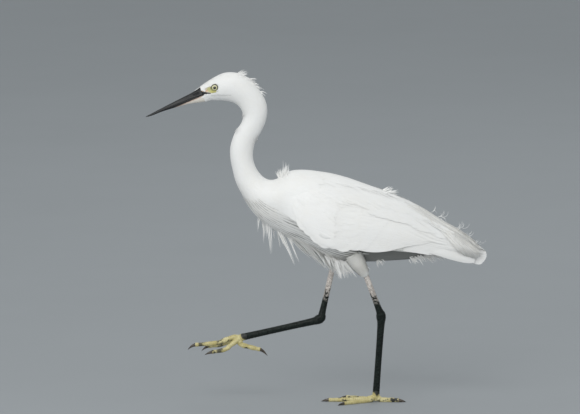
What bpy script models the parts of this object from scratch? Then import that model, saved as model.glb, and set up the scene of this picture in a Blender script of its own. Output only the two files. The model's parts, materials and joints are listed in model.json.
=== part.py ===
"""A little egret at life size, walking, with its left leg on the ground and its right foot lifted.

The bird faces -X and its left side is -Y. Lengths below are millimetres, turned to metres when a mesh is
made. The origin is on the ground, under the left foot.
"""

import math
import random

import bmesh
import bpy
import numpy as np

MM = 0.001
GAP = 0.35
UP = np.array([0.0, 0.0, 1.0])
SIDE = np.array([0.0, 1.0, 0.0])

# Body outline. Each row is one ring: back x, back z, belly x, belly z, half width.
# The rings run from the face, over the crown and down the bent neck, along the torso and past the rump.
BODY_RINGS = np.array([
    (-219.4, 398.2, -212.6, 379.1, 6.6),  # face, where the bill leaves it
    (-210.0, 405.1, -206.9, 380.7, 9.2),
    (-200.0, 411.0, -200.0, 381.0, 11.4),  # eye
    (-190.0, 415.3, -191.2, 380.9, 12.7),
    (-178.8, 416.1, -181.9, 379.5, 13.2),  # crown
    (-166.2, 413.1, -175.0, 376.7, 13.0),
    (-155.0, 405.1, -170.2, 372.5, 12.4),
    (-145.0, 393.1, -167.5, 367.9, 11.8),  # nape
    (-138.1, 380.5, -166.0, 363.1, 11.4),
    (-135.9, 367.9, -166.2, 357.8, 11.4),
    (-137.8, 355.3, -169.2, 350.8, 11.6),
    (-143.1, 342.6, -175.0, 342.6, 11.8),
    (-149.4, 331.9, -179.2, 332.8, 12.0),
    (-153.1, 321.2, -182.0, 321.2, 12.2),
    (-153.8, 308.6, -181.8, 307.9, 12.6),
    (-150.6, 297.2, -179.4, 294.7, 13.4),
    (-144.4, 287.7, -175.0, 278.3, 15.0),
    (-136.2, 281.4, -167.5, 263.1, 18.0),
    (-126.2, 280.8, -157.5, 246.7, 23.0),  # foot of the neck
    (-115.0, 286.5, -142.5, 229.7, 29.0),
    (-103.8, 292.0, -120.0, 215.2, 34.0),  # shoulder
    (-82.5, 292.0, -95.0, 203.2, 38.0),
    (-60.0, 288.0, -70.0, 191.2, 40.0),
    (-37.5, 281.0, -45.0, 182.0, 39.5),
    (-12.5, 271.5, -17.5, 178.5, 36.5),
    (15.0, 260.0, 12.5, 179.5, 31.5),
    (40.0, 246.5, 40.0, 181.5, 25.5),
    (62.5, 232.5, 65.0, 184.5, 19.5),
    (84.0, 218.5, 85.0, 188.5, 14.0),  # rump
    (100.0, 209.5, 101.0, 191.5, 11.5),  # past here only the wing tips follow the rings
    (115.0, 201.0, 116.0, 191.5, 9.5),
    (128.0, 193.5, 129.0, 188.5, 8.0),
    (140.0, 187.5, 141.0, 185.5, 7.0),
])
HEAD_END, NECK_MIDDLE, NECK_END, TORSO_END = 6.6, 12.2, 18.3, 28.0
HEAD_SIDES, NECK_SIDES, TORSO_SIDES = 20, 16, 22

# Bill. Each row is one ring: x, ridge z, mouth z, chin z, half width at the mouth and lean (x per mm of z).
BILL_RINGS = np.array([
    (-287.4, 360.7, 360.3, 359.9, 0.35, 0.0),
    (-280.0, 364.7, 363.2, 361.8, 1.0, 0.0),
    (-266.9, 371.6, 369.0, 366.9, 1.8, 0.0),
    (-253.2, 378.6, 374.6, 371.3, 2.6, -0.05),
    (-239.8, 385.2, 379.9, 375.2, 3.5, -0.13),
    (-228.0, 390.9, 384.6, 377.6, 4.7, -0.25),
    (-216.12, 397.9, 388.0, 379.4, 6.3, -0.356),
])
MOUTH_CORNER = (-205.5, 391.2)
NOSTRIL = (-224.0, 388.9)
NOSTRIL_LENGTH, NOSTRIL_HEIGHT, NOSTRIL_DEPTH = 6.0, 1.1, 1.2

EYE_RING, EYE_RADIUS = (-201.4, 398.4), 4.3
EYE_PROUD = 2.1
LID_RADIUS, LID_THICKNESS = 4.5, 0.75

# Wing edges as angles round the body from the back, at these ring numbers.
WING_AT = np.array([20.4, 21.0, 22.0, 23.0, 24.0, 25.0, 26.0, 27.0, 28.0, 29.0, 30.0, 31.0])
WING_TOP = np.radians([64, 50, 40, 34, 28, 23, 19, 17, 18, 22, 30, 40])
WING_LOW = np.radians([90, 117, 133, 127, 126, 124, 127, 131, 129, 120, 108, 98])
WING_LIFT, WING_SKIN, WING_EDGE_LIFT = 5.2, 3.2, 0.9
VANE_UNDER = 1.9
PLUME_RISE = 7.0
VANE_THICKNESS = 0.9

# Legs. Joints are points; the left leg stands and the right foot is lifted.
LEFT_THIGH = ((-29.0, -21.0, 190.0), (-21.5, -21.0, 177.0), (-12.5, -19.5, 162.5))
LEFT_ANKLE = (7.0, -10.5, 110.0)
LEFT_FOOT = (0.0, 0.0, 4.0)
RIGHT_THIGH = ((-45.0, 21.0, 191.0), (-51.0, 21.0, 177.0), (-54.5, 20.0, 165.0))
RIGHT_ANKLE = (-69.0, 17.5, 101.5)
RIGHT_FOOT = (-171.4, 13.0, 79.0)
THIGH_RADII = (11.5, 8.4, 4.6)
SHANK_RADIUS, TARSUS_RADIUS, ANKLE_RADIUS = 3.5, 4.1, 5.8
TARSUS_STEPS = ((0.07, 5.5), (0.14, 5.0), (0.24, 4.4), (0.5, TARSUS_RADIUS), (0.82, TARSUS_RADIUS), (0.93, 4.4))
TOE_RADIUS, CLAW_LENGTH = 2.9, 9.0
STANDING_TOES = (  # length, angle from straight ahead and size
    ("inner", 43.0, -33, 0.95),
    ("middle", 59.0, -1, 1.0),
    ("outer", 47.0, 32, 0.95),
    ("hind", 29.0, 174, 1.05),
)
SCUTES_PER_TOE = 6

WHITE = (0.86, 0.87, 0.85)
COLOURS = {
    "plumage": (WHITE, 0.75),
    "bill_black": ((0.015, 0.016, 0.018), 0.32),
    "leg_black": ((0.018, 0.022, 0.02), 0.4),
    "toe_yellow": ((0.62, 0.55, 0.2), 0.5),
    "claw_dark": ((0.05, 0.04, 0.035), 0.35),
    "eye_pale": ((0.75, 0.72, 0.45), 0.12),
}
rng = random.Random(7)


def spline(rows, at):
    """Catmull-Rom curve through the rows, read at row numbers that need not be whole."""
    rows = np.asarray(rows, float)
    at = np.clip(np.asarray(at, float), 0, len(rows) - 1)
    i = np.minimum(at.astype(int), len(rows) - 2)
    t = (at - i)[..., None]
    before, after = rows[np.maximum(i - 1, 0)], rows[np.minimum(i + 2, len(rows) - 1)]
    here, there = rows[i], rows[i + 1]
    slope_here = (there - before) / 2
    slope_there = (after - here) / 2
    square, cube = t * t, t * t * t
    return (
        (2 * cube - 3 * square + 1) * here
        + (cube - 2 * square + t) * slope_here
        + (3 * square - 2 * cube) * there
        + (cube - square) * slope_there
    )


def smooth(value):
    """0 below 0, 1 above 1 and an S curve between."""
    value = np.clip(value, 0, 1)
    return value * value * (3 - 2 * value)


def unit(vector):
    """The vector at length one."""
    return vector / np.linalg.norm(vector, axis=-1, keepdims=True)


def body_frame(ring):
    """Centre, half height vector and half width of the body at a ring number."""
    row = spline(BODY_RINGS, ring)
    back = np.stack([row[..., 0], 0 * row[..., 0], row[..., 1]], -1)
    belly = np.stack([row[..., 2], 0 * row[..., 0], row[..., 3]], -1)
    return (back + belly) / 2, (back - belly) / 2, row[..., 4]


def body_point(ring, angle):
    """A point on the body, angle 0 on the back, 90 degrees on the left side (-Y) and 180 on the belly."""
    centre, half, width = body_frame(ring)
    torso = smooth((np.asarray(ring) - 17) / 3)
    egg = 1 + 0.2 * torso * np.cos(angle)
    across = width * np.sin(angle) * egg
    return centre + half * np.cos(angle)[..., None] - SIDE * across[..., None]


def outward(surface, ring, angle):
    """Unit normal of a surface of ring and angle that points away from the body."""
    step = 1e-3
    along = surface(ring + step, angle) - surface(ring - step, angle)
    around = surface(ring, angle + step) - surface(ring, angle - step)
    normal = unit(np.cross(along, around))
    away = surface(ring, angle) - body_frame(ring)[0]
    return normal * np.where((normal * away).sum(-1, keepdims=True) < 0, -1, 1)


def wing_top(ring):
    """Angle of the wing's upper edge."""
    return np.interp(ring, WING_AT, WING_TOP)


def wing_low(ring):
    """Angle of the wing's lower edge."""
    return np.interp(ring, WING_AT, WING_LOW)


def wing_lift(ring, angle):
    """How far the wing stands off the body: little at its edges, most inside them."""
    return WING_EDGE_LIFT + WING_LIFT * smooth((angle - wing_top(ring)) / 0.5) * smooth((ring - 20.0) / 0.9)


def wing_surface(ring, angle):
    """The outside of the folded wing: the body pushed out, and fuller below to hang clear of the belly."""
    centre, half, width = body_frame(ring)
    lift = wing_lift(ring, angle)
    grown = half * (1 + lift / np.linalg.norm(half, axis=-1))[..., None]
    fullness = 1 - 0.42 * smooth(-np.cos(angle) * 1.4)
    across = (width + lift) * np.sign(np.sin(angle)) * np.abs(np.sin(angle)) ** fullness
    return centre + grown * np.cos(angle)[..., None] - SIDE * across[..., None]


def material(name):
    """The finish of that name, made at its first use."""
    if name in bpy.data.materials:
        return bpy.data.materials[name]
    colour, roughness = COLOURS[name]
    made = bpy.data.materials.new(name)
    made.use_nodes = True
    shader = made.node_tree.nodes["Principled BSDF"]
    shader.inputs["Base Color"].default_value = (*colour, 1)
    shader.inputs["Roughness"].default_value = roughness
    shader.inputs["Metallic"].default_value = 0.0
    return made


def solid(name, points, faces, finish="plumage"):
    """One closed mesh object from points in millimetres, with its faces turned outwards."""
    mesh = bpy.data.meshes.new(name)
    mesh.from_pydata([tuple(point) for point in np.asarray(points) * MM], [], faces)
    build = bmesh.new()
    build.from_mesh(mesh)
    bmesh.ops.remove_doubles(build, verts=build.verts, dist=1e-7)
    bmesh.ops.recalc_face_normals(build, faces=build.faces)
    if build.calc_volume(signed=True) < 0:
        bmesh.ops.reverse_faces(build, faces=build.faces)
    build.to_mesh(mesh)
    build.free()
    mesh.materials.append(material(finish))
    made = bpy.data.objects.new(name, mesh)
    bpy.context.scene.collection.objects.link(made)
    return made


def loft(name, rings, finish="plumage"):
    """A closed body through rings of equally many points, with a flat cap at each end."""
    rings = [np.asarray(ring) for ring in rings]
    sides = len(rings[0])
    faces = [tuple(range(sides)), tuple(range((len(rings) - 1) * sides, len(rings) * sides))]
    for i in range(len(rings) - 1):
        for j in range(sides):
            k = (j + 1) % sides
            faces.append((i * sides + j, i * sides + k, (i + 1) * sides + k, (i + 1) * sides + j))
    return solid(name, np.concatenate(rings), faces, finish)


def body_length(name, rings, sides, grown=0.0, gap_before=0.0):
    """A length of the body as a loft. A gap moves its first ring along the body, clear of the length before."""
    angles = np.arange(sides) * 2 * math.pi / sides
    made = []
    for ring in rings:
        at = np.full(sides, float(ring))
        made.append(body_point(at, angles) + outward(body_point, at, angles) * grown)
    if gap_before:
        centre, half, _ = body_frame(rings[0])
        ahead = unit(np.cross(half, SIDE))
        ahead = ahead * np.sign(np.dot(ahead, body_frame(rings[0] + 0.3)[0] - centre))
        made[0] = made[0] + ahead * gap_before
    return loft(name, made)


def tube(name, path, radii, sides, finish, flat_z=None, turn=0.5):
    """A closed limb along a path. Each radius is (in the X-Z plane, sideways); flat_z levels the underside."""
    path = np.asarray(path, float)
    tangents = unit(np.gradient(path, axis=0))
    angles = (np.arange(sides) + turn) * 2 * math.pi / sides
    rings = []
    for point, tangent, (deep, wide) in zip(path, tangents, radii):
        across = unit(SIDE - tangent * np.dot(SIDE, tangent))
        front = np.cross(across, tangent)
        ring = point + np.outer(np.cos(angles) * deep, front) + np.outer(np.sin(angles) * wide, across)
        if flat_z is not None:
            ring[:, 2] = np.maximum(ring[:, 2], flat_z)
        rings.append(ring)
    return loft(name, rings, finish)


def strip(name, centres, across, normals, widths, depths, finish="plumage"):
    """A flat tapered vane or lock with four sides, as deep as stated at each step."""
    rings = []
    for centre, side, normal, width, depth in zip(centres, across, normals, widths, depths):
        left, right = centre - side * width / 2, centre + side * width / 2
        rings.append([left, right, right - normal * depth, left - normal * depth])
    return loft(name, rings, finish)


def surface_vane(name, surface, mirror, start, end, width, heights, shape, under=None, bend=0.0):
    """A feather along a surface from start to end, both (ring, angle), at the stated heights.

    Under tells how far below the surface its lower face is sunk. Without it the feather is a thin one.
    """
    steps = np.linspace(0, 1, len(shape)) ** 0.9
    ring = start[0] + (end[0] - start[0]) * steps
    angle = start[1] + (end[1] - start[1]) * steps + bend * np.sin(steps * math.pi)
    heights = np.interp(steps, np.linspace(0, 1, len(heights)), heights)
    depths = np.append(np.full(len(shape) - 1, VANE_THICKNESS), VANE_THICKNESS * 0.6)
    if under is not None:
        depths = np.maximum(heights + under(ring, angle), depths)
    centres = surface(ring, angle)
    normals = outward(surface, ring, angle)
    tangents = unit(np.gradient(centres, axis=0))
    across = unit(np.cross(normals, tangents))
    centres = centres + normals * heights[:, None]
    flip = np.array([1.0, -1.0 if mirror else 1.0, 1.0])
    widths = np.asarray(shape) * width
    return strip(name, centres * flip, across * flip, normals * flip, widths, depths)


def free_lock(name, path, facing, width, shape, thickness=0.9):
    """A hanging lock along a smooth path, with its flat side turned to the facing direction."""
    centres = spline(path, np.linspace(0, len(path) - 1, len(shape)))
    tangents = unit(np.gradient(centres, axis=0))
    facing = np.tile(np.asarray(facing, float), (len(centres), 1))
    normals = unit(facing - tangents * (facing * tangents).sum(-1, keepdims=True))
    across = np.cross(normals, tangents)
    depths = np.append(np.full(len(shape) - 1, thickness), thickness * 0.6)
    return strip(name, centres, across, normals, np.asarray(shape) * width, depths)


def apply_boolean(target, operation, pieces, solver):
    """One Boolean of the target with a collection of closed meshes, applied; the pieces are then removed."""
    collection = bpy.data.collections.new("pieces")
    bpy.context.scene.collection.children.link(collection)
    for piece in pieces:
        bpy.context.scene.collection.objects.unlink(piece)
        collection.objects.link(piece)
    boolean = target.modifiers.new(operation, "BOOLEAN")
    boolean.operation = operation
    boolean.solver = solver
    boolean.operand_type = "COLLECTION"
    boolean.collection = collection
    bpy.context.view_layer.update()
    graph = bpy.context.evaluated_depsgraph_get()
    made = bpy.data.meshes.new_from_object(target.evaluated_get(graph))
    target.modifiers.clear()
    target.data = made
    for piece in pieces:
        bpy.data.objects.remove(piece)
    bpy.data.collections.remove(collection)


def keep_largest(target):
    """Drops every closed surface but the largest, and slivers with it."""
    build = bmesh.new()
    build.from_mesh(target.data)
    bmesh.ops.triangulate(build, faces=build.faces)
    unseen = set(build.faces)
    shells = []
    while unseen:
        shell, stack = [], [unseen.pop()]
        while stack:
            face = stack.pop()
            shell.append(face)
            for edge in face.edges:
                for other in edge.link_faces:
                    if other in unseen and len(edge.link_faces) == 2:
                        unseen.remove(other)
                        stack.append(other)
        shells.append(shell)

    def volume(shell):
        corners = [[vert.co for vert in face.verts] for face in shell]
        return sum(a.dot(b.cross(c)) for a, b, c in corners)

    shells.sort(key=volume, reverse=True)
    for shell in shells[1:]:
        bmesh.ops.delete(build, geom=shell, context="FACES")
    loose = [vert for vert in build.verts if not vert.link_faces]
    bmesh.ops.delete(build, geom=loose, context="VERTS")
    build.to_mesh(target.data)
    build.free()
    target.data.set_sharp_from_angle(angle=math.radians(40))


def fuse(target, pieces=(), cutters=(), solver="EXACT"):
    """Joins the pieces to the target, then cuts it clear of its neighbours, and keeps one closed body."""
    if pieces:
        apply_boolean(target, "UNION", list(pieces), solver)
    if cutters:
        apply_boolean(target, "DIFFERENCE", list(cutters), solver)
    keep_largest(target)
    return target


def make_bill():
    """Upper and lower mandible, parted along the mouth, with a nostril slit in each side of the upper one."""
    steps = np.linspace(0, len(BILL_RINGS) - 1, 13)
    rows = spline(BILL_RINGS, steps)
    upper, lower = [], []
    for x, ridge, mouth, chin, half, lean in rows:
        top, low = mouth + GAP / 2, mouth - GAP / 2
        rise, drop = max(ridge - top, 0.25), max(low - chin, 0.25)
        upper.append([
            (x + lean * (top + rise * up - mouth), y * half, top + rise * up)
            for y, up in ((-1, 0), (-0.86, 0.5), (-0.36, 0.95), (0.36, 0.95), (0.86, 0.5), (1, 0))
        ])
        lower.append([
            (x + lean * (low - drop * down - mouth), y * half, low - drop * down)
            for y, down in ((0.95, 0), (0.82, 0.55), (0.3, 0.97), (-0.3, 0.97), (-0.82, 0.55), (-0.95, 0))
        ])
    bill_upper = loft("bill_upper", upper, "bill_black")
    bill_lower = loft("bill_lower", lower, "bill_black")
    slits = []
    for side in (-1, 1):
        reach = 4.6
        centre = np.array([NOSTRIL[0], side * (reach + 4.1 - NOSTRIL_DEPTH), NOSTRIL[1]])
        along = unit(np.array([-0.93, 0.0, -0.37])) * NOSTRIL_LENGTH / 2
        high = UP * NOSTRIL_HEIGHT / 2
        rings = [
            [centre + SIDE * side * y * reach + along * a + high * h
             for a, h in ((-1, 0.3), (-0.6, -1), (0.7, -1), (1, 0), (0.6, 1), (-0.6, 1))]
            for y in (-1, 1)
        ]
        slits.append(loft(f"nostril_{side}", rings))
    fuse(bill_upper, cutters=slits)
    keep_largest(bill_lower)


def eye_centre(side):
    """Centre of an eyeball, sunk so that only its outer part shows. Side is -1 for the left."""
    ring = 1.9
    angle = math.acos((EYE_RING[1] - 396.0) / 15.0)
    surface = body_point(np.array([ring]), np.array([angle]))[0]
    return np.array([EYE_RING[0], side * (abs(surface[1]) - EYE_RADIUS + EYE_PROUD), EYE_RING[1]])


def ball(name, centre, radius, finish, segments=12, rows=7):
    """A ball with its poles on Y."""
    rings = []
    for i in range(rows + 1):
        polar = math.pi * (0.04 + 0.92 * i / rows)
        turn = np.arange(segments) * 2 * math.pi / segments
        rings.append(centre + radius * np.stack([
            math.sin(polar) * np.cos(turn), np.full(segments, math.cos(polar)), math.sin(polar) * np.sin(turn),
        ], -1))
    return loft(name, rings, finish)


def lid_ring(name, centre, side):
    """The rim of both lids round an eye, a low ring a little longer than it is high."""
    turn = np.arange(12) * 2 * math.pi / 12
    out = centre[1] + side * (EYE_RADIUS * 0.62)
    points, faces = [], []
    for a in turn:
        rim = np.array([math.cos(a) * 1.12, 0.0, math.sin(a) * 0.98])
        base = np.array([centre[0], out, centre[2]]) + rim * LID_RADIUS
        for radial, height in ((1.5, -3.4), (1.3, 0.1), (0.2, 0.75), (-0.65, 0.4), (-0.9, -3.4)):
            points.append(base + rim * radial * LID_THICKNESS + SIDE * side * height * LID_THICKNESS)
    count = 5
    for i in range(12):
        for j in range(count):
            here, there = i * count, (i + 1) % 12 * count
            k = (j + 1) % count
            faces.append((here + j, here + k, there + k, there + j))
    return solid(name, points, faces)


def mouth_groove(side):
    """A wedge that cuts the line of the mouth back from the bill to its corner under the eye."""
    start, end = np.array([-221.0, 0.0, 386.9]), np.array([MOUTH_CORNER[0], 0.0, MOUTH_CORNER[1]])
    rings = []
    for point, inside, tall in ((start, 3.0, 0.75), ((start + end) / 2, 7.2, 0.7), (end, 9.6, 0.35)):
        rings.append([
            point + SIDE * side * inside,
            point + SIDE * side * 16 + UP * tall * 2,
            point + SIDE * side * 16 - UP * tall * 2,
        ])
    return loft(f"mouth_{side}", rings)


def crest_locks():
    """Short ragged feathers that stand off the back of the crown and the nape."""
    locks = []
    for row, (ring, count, spread, length, rise) in enumerate((
        (4.55, 4, 0.75, 0.75, 4.6), (5.3, 4, 0.6, 0.7, 3.4), (5.95, 3, 0.7, 0.62, 2.6),
    )):
        for i in range(count):
            angle = spread * (i / (count - 1) * 2 - 1) * (1 if row % 2 else 0.9) + 0.03
            reach = length * rng.uniform(0.8, 1.1)
            lift = rise * rng.uniform(0.6, 1.05) * (1 - 0.35 * abs(angle))
            locks.append(surface_vane(
                f"crest_{row}_{i}", body_point, False, (ring, angle), (ring + reach, angle * 1.25),
                3.4, (-1.1, 0.6, lift * 0.6, lift), (1.0, 0.95, 0.62, 0.18),
            ))
    return locks


def make_head():
    """The head with its lids and crest, cut for both eyeballs and for the line of the mouth."""
    rings = [0, 0.5, 1, 1.5, 2, 2.5, 3, 3.6, 4.2, 4.8, 5.4, 6.0, HEAD_END]
    head = body_length("head", rings, HEAD_SIDES)
    pieces, cutters = crest_locks(), []
    for side, name in ((-1, "left"), (1, "right")):
        centre = eye_centre(side)
        eye = ball(f"eye_{name}", centre, EYE_RADIUS, "eye_pale")
        keep_largest(eye)
        pieces.append(lid_ring(f"lids_{name}", centre, side))
        cutters.append(ball(f"socket_{name}", centre, EYE_RADIUS + GAP + 0.1, "eye_pale"))
        cutters.append(mouth_groove(side))
    fuse(head, pieces, cutters)


def make_neck():
    """The two lengths of the bent neck."""
    rings = [HEAD_END, 7.4, 8.2, 9.0, 9.8, 10.6, 11.4, NECK_MIDDLE]
    keep_largest(body_length("neck_upper", rings, NECK_SIDES, gap_before=GAP))
    rings = [NECK_MIDDLE, 13, 13.9, 14.8, 15.6, 16.3, 17, 17.7, NECK_END]
    keep_largest(body_length("neck_lower", rings, NECK_SIDES, gap_before=GAP))


def breast_plumes():
    """Long narrow plumes that hang free from the breast, as (root x, root z, y, length, backward lean)."""
    plumes = []
    roots = (
        (-148.0, 238.0, -3.0, 24.0, -0.08),
        (-143.0, 233.0, 5.0, 36.0, -0.02),
        (-138.5, 229.0, -7.0, 42.0, 0.06),
        (-134.0, 226.0, 2.0, 20.0, 0.1),
        (-129.0, 223.0, -9.0, 47.0, 0.42),
        (-124.0, 220.0, 8.0, 30.0, 0.3),
        (-119.5, 218.0, -4.0, 36.0, 0.38),
        (-114.0, 215.0, -10.0, 18.0, 0.3),
        (-131.0, 224.0, 9.0, 32.0, 0.2),
    )
    for i, (x, z, y, length, lean) in enumerate(roots):
        down = np.array([lean, 0.02 * np.sign(y), -1.0])
        down = down / np.linalg.norm(down)
        sway = np.array([1.6 if i % 2 else -1.3, 0.0, 0.0])
        root = np.array([x + 3.0, y, z + 7.0])
        path = [root, root + down * length * 0.42 + sway, root + down * length * 0.75, root + down * (length + 6)]
        plumes.append(free_lock(f"plume_{i}", path, (0.25, -1.0, 0.0), 2.6, (1.0, 0.95, 0.8, 0.55, 0.15), 0.8))
    return plumes


def belly_plumes(mirror):
    """Lance shaped feathers of the lower breast. They run back along it and hang in points between the legs."""
    side = 1.0 if mirror else -1.0
    plumes = []
    for i, (ring, angle, tip_x, tip_z, width) in enumerate((
        (19.5, 176, -76.0, 180.0, 6.5), (19.9, 164, -66.0, 175.0, 7.0), (20.1, 174, -57.0, 164.0, 7.5),
        (20.5, 160, -49.0, 160.0, 7.5), (20.7, 170, -41.0, 155.0, 8.0), (21.2, 162, -34.0, 161.0, 8.0),
        (21.8, 170, -27.0, 167.0, 7.5),
    )):
        angle = math.radians(angle) + rng.uniform(-0.03, 0.03)
        root = body_point(np.array([ring]), np.array([angle]))[0]
        later = body_point(np.array([ring + 1.1]), np.array([angle]))[0]
        root[1], later[1] = abs(root[1]) * side, abs(later[1]) * side
        tip = np.array([tip_x + rng.uniform(-3, 3), later[1] * 0.55, tip_z + rng.uniform(-2, 2)])
        path = [root + UP * 2.5, later - UP * 1.5, (later + tip) / 2 - UP * 2.0, tip]
        facing = np.array([-0.5, side * 0.35, -1.0])
        plumes.append(free_lock(f"belly_{mirror}_{i}", path, facing, width, (0.8, 1.0, 1.0, 0.75, 0.15), 0.9))
    return plumes


def nape_tuft():
    """The few feathers that stand up where the back begins."""
    tufts = []
    for i, (ring, angle, rise) in enumerate(((18.75, 0.1, 8.0), (18.85, -0.3, 6.0), (19.1, 0.35, 6.5))):
        tufts.append(surface_vane(
            f"tuft_{i}", body_point, False, (ring, angle), (ring + 0.75, angle * 1.1),
            4.6, (-1.5, rise * 0.3, rise * 0.65, rise), (1.0, 0.9, 0.6, 0.18),
        ))
    return tufts


def over_wing(ring, angle):
    """0 on the bare mantle and 1 where a wing lies under the feathers of the back."""
    near_wing = smooth((angle - wing_top(ring) + 0.3) / 0.25)
    return smooth((ring - 20.0) / 0.6) * np.maximum(near_wing, smooth((ring - 25.5) / 1.5))


def back_surface(ring, angle):
    """Just clear of the mantle and of the wings, for the long feathers of the back to lie on."""
    centre, half, width = body_frame(ring)
    lift = 0.9 + (wing_lift(ring, angle) + 1.7) * over_wing(ring, angle)
    grown = half * (1 + lift / np.linalg.norm(half, axis=-1))[..., None]
    across = (width + lift) * np.sin(angle)
    return centre + grown * np.cos(angle)[..., None] - SIDE * across[..., None]


def back_under(ring, angle):
    """Feathers of the back are sunk into the mantle, but are thin where they pass over a wing."""
    return np.where(over_wing(ring, angle) < 0.4, 2.4, -9.0)


def scapulars(mirror):
    """The broad shoulder feathers that cover the join of wing and back."""
    vanes = []
    for i in range(4):
        across = i / 3
        start = (20.7 + 0.4 * (i % 2) + rng.uniform(-0.1, 0.1), math.radians(12 + 26 * across))
        end = (25.4 - 0.9 * across + rng.uniform(-0.2, 0.2), math.radians(14 + 36 * across))
        vanes.append(surface_vane(
            f"scapular_{mirror}_{i}", back_surface, mirror, start, end, 14.0,
            (-2.0, 0.0, 0.2, 0.3, 0.5), (0.7, 1.0, 1.0, 0.8, 0.25), back_under,
        ))
    return vanes


def back_plumes(mirror):
    """The long loose plumes of the back that drape past the wing tips and curl up at their ends."""
    plumes = []
    for i in range(6):
        across = i / 5
        start = (21.8 + 0.3 * (i % 3) + rng.uniform(-0.1, 0.1), math.radians(5 + 16 * across))
        end = (29.8 + 0.5 * (i % 3) - 0.8 * across + rng.uniform(-0.2, 0.2), math.radians(7 + 62 * across))
        full = PLUME_RISE * (1 - 0.45 * across)
        plumes.append(surface_vane(
            f"back_plume_{mirror}_{i}", back_surface, mirror, start, end, 7.5,
            (-2.0, 1.0, 1.6, full * 0.6, full, full * 0.75), (0.6, 1.0, 1.0, 0.95, 0.7, 0.15), back_under,
        ))
    return plumes


def make_torso():
    """The trunk with the long feathers of breast, belly, shoulders and back.

    These cross each other at very small angles, where the exact solver leaves open or doubled edges. The manifold
    solver closes them, so the trunk and the wings use it.
    """
    rings = [NECK_END, 18.8, 19.3, 19.8, 20.4, 21, 22, 23, 24, 25, 26, 27, TORSO_END]
    torso = body_length("torso", rings, TORSO_SIDES, gap_before=GAP)
    pieces = breast_plumes() + nape_tuft()
    for mirror in (False, True):
        pieces += belly_plumes(mirror) + scapulars(mirror) + back_plumes(mirror)
    fuse(torso, pieces, thigh_cutters(), solver="MANIFOLD")


def torso_cutter(name):
    """The torso grown by the gap, to part the wings from it."""
    rings = [18.8, 19.3, 19.8, 20.4, 21, 22, 23, 24, 25, 26, 27, TORSO_END, TORSO_END + 0.02]
    return body_length(name, rings, TORSO_SIDES, grown=GAP + 0.1)


def wing_core(name, mirror):
    """The folded wing under its feathers. Its inside reaches into the torso, which is cut from it later."""
    along = np.array([20.25, 20.8, 21.5, 22.3, 23.3, 24.3, 25.3, 26.3, 27.3, 28.3, 29.4, 30.6])
    across = np.linspace(0.03, 0.97, 7)
    flip = np.array([1.0, -1.0 if mirror else 1.0, 1.0])
    rings = []
    for ring in along:
        angle = wing_top(ring) + across * (wing_low(ring) - wing_top(ring))
        at = np.full(len(across), ring)
        points, normals = wing_surface(at, angle), outward(wing_surface, at, angle)
        outer = points - normals * 0.8
        behind = smooth((ring - 27.3) / 1.2)
        inside = body_point(at, angle) - outward(body_point, at, angle) * 0.8
        inner = inside * (1 - behind) + (points - normals * WING_SKIN) * behind
        rings.append(np.concatenate([outer, inner[::-1]]) * flip)
    return loft(name, rings)


def across_wing(ring, share):
    """Angle at a share of the way from the wing's upper edge to its lower edge."""
    return float(wing_top(ring) + share * (wing_low(ring) - wing_top(ring)))


def wing_row(name, mirror, count, roots, tips, width, heights, shape):
    """One tier of a wing. Roots and tips are ((ring, share), (ring, share)) for its first and last feather."""
    vanes = []
    for i in range(count):
        part = i / max(count - 1, 1)
        root = [a + (b - a) * part for a, b in zip(*roots)]
        tip = [a + (b - a) * part for a, b in zip(*tips)]
        tip[0] += rng.uniform(-0.06, 0.06)
        vanes.append(surface_vane(
            f"{name}_{mirror}_{i}", wing_surface, mirror,
            (root[0], across_wing(root[0], root[1])), (tip[0], across_wing(tip[0], tip[1])),
            width, heights, shape, lambda ring, angle: VANE_UNDER,
        ))
    return vanes


def wing_feathers(mirror):
    """Every tier of the folded wing, from the small coverts at the wrist to the long primaries behind."""
    blade = (0.75, 1.0, 0.9, 0.3)
    short = (0.9, 1.0, 0.35)
    rise = (-1.4, 0.1, 0.9)
    rows = wing_row("primary", mirror, 4, ((26.4, 0.62), (26.4, 0.95)), ((31.0, 0.4), (29.4, 1.0)), 10.5,
                    (-1.4, -0.5, 0.0, 0.1), blade)
    rows += wing_row("secondary", mirror, 6, ((24.2, 0.34), (23.6, 0.9)), ((28.9, 0.66), (26.0, 0.99)), 14.0,
                     (-1.4, -0.4, 0.2, 0.5), blade)
    rows += wing_row("tertial", mirror, 3, ((24.4, 0.16), (24.2, 0.36)), ((29.8, 0.3), (29.0, 0.6)), 12.0,
                     (-1.4, -0.1, 0.4, 0.6), (0.9, 1.0, 0.7, 0.25))
    rows += wing_row("greater", mirror, 6, ((22.9, 0.26), (22.5, 0.86)), ((25.2, 0.32), (24.3, 0.98)), 15.0,
                     rise, short)
    rows += wing_row("alula", mirror, 2, ((20.8, 0.8), (20.7, 0.93)), ((23.2, 0.9), (22.9, 1.0)), 12.0,
                     rise, short)
    rows += wing_row("median", mirror, 5, ((21.9, 0.22), (21.7, 0.78)), ((23.4, 0.26), (23.0, 0.84)), 15.0,
                     rise, short)
    for k, ring in enumerate((20.4, 21.2)):
        rows += wing_row(f"lesser_{k}", mirror, 5, ((ring, 0.18 + 0.05 * k), (ring, 0.8 - 0.05 * k)),
                         ((ring + 1.15, 0.2 + 0.05 * k), (ring + 1.1, 0.84 - 0.05 * k)), 13.0, rise, short)
    return rows


def make_wing(name, mirror):
    """One folded wing, cut clear of the torso, the root of the tail and the thighs."""
    cutters = [torso_cutter("torso_cut"), tail_core("tail_cut", GAP + 0.25), *thigh_cutters()]
    fuse(wing_core(name, mirror), wing_feathers(mirror), cutters, solver="MANIFOLD")


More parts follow.
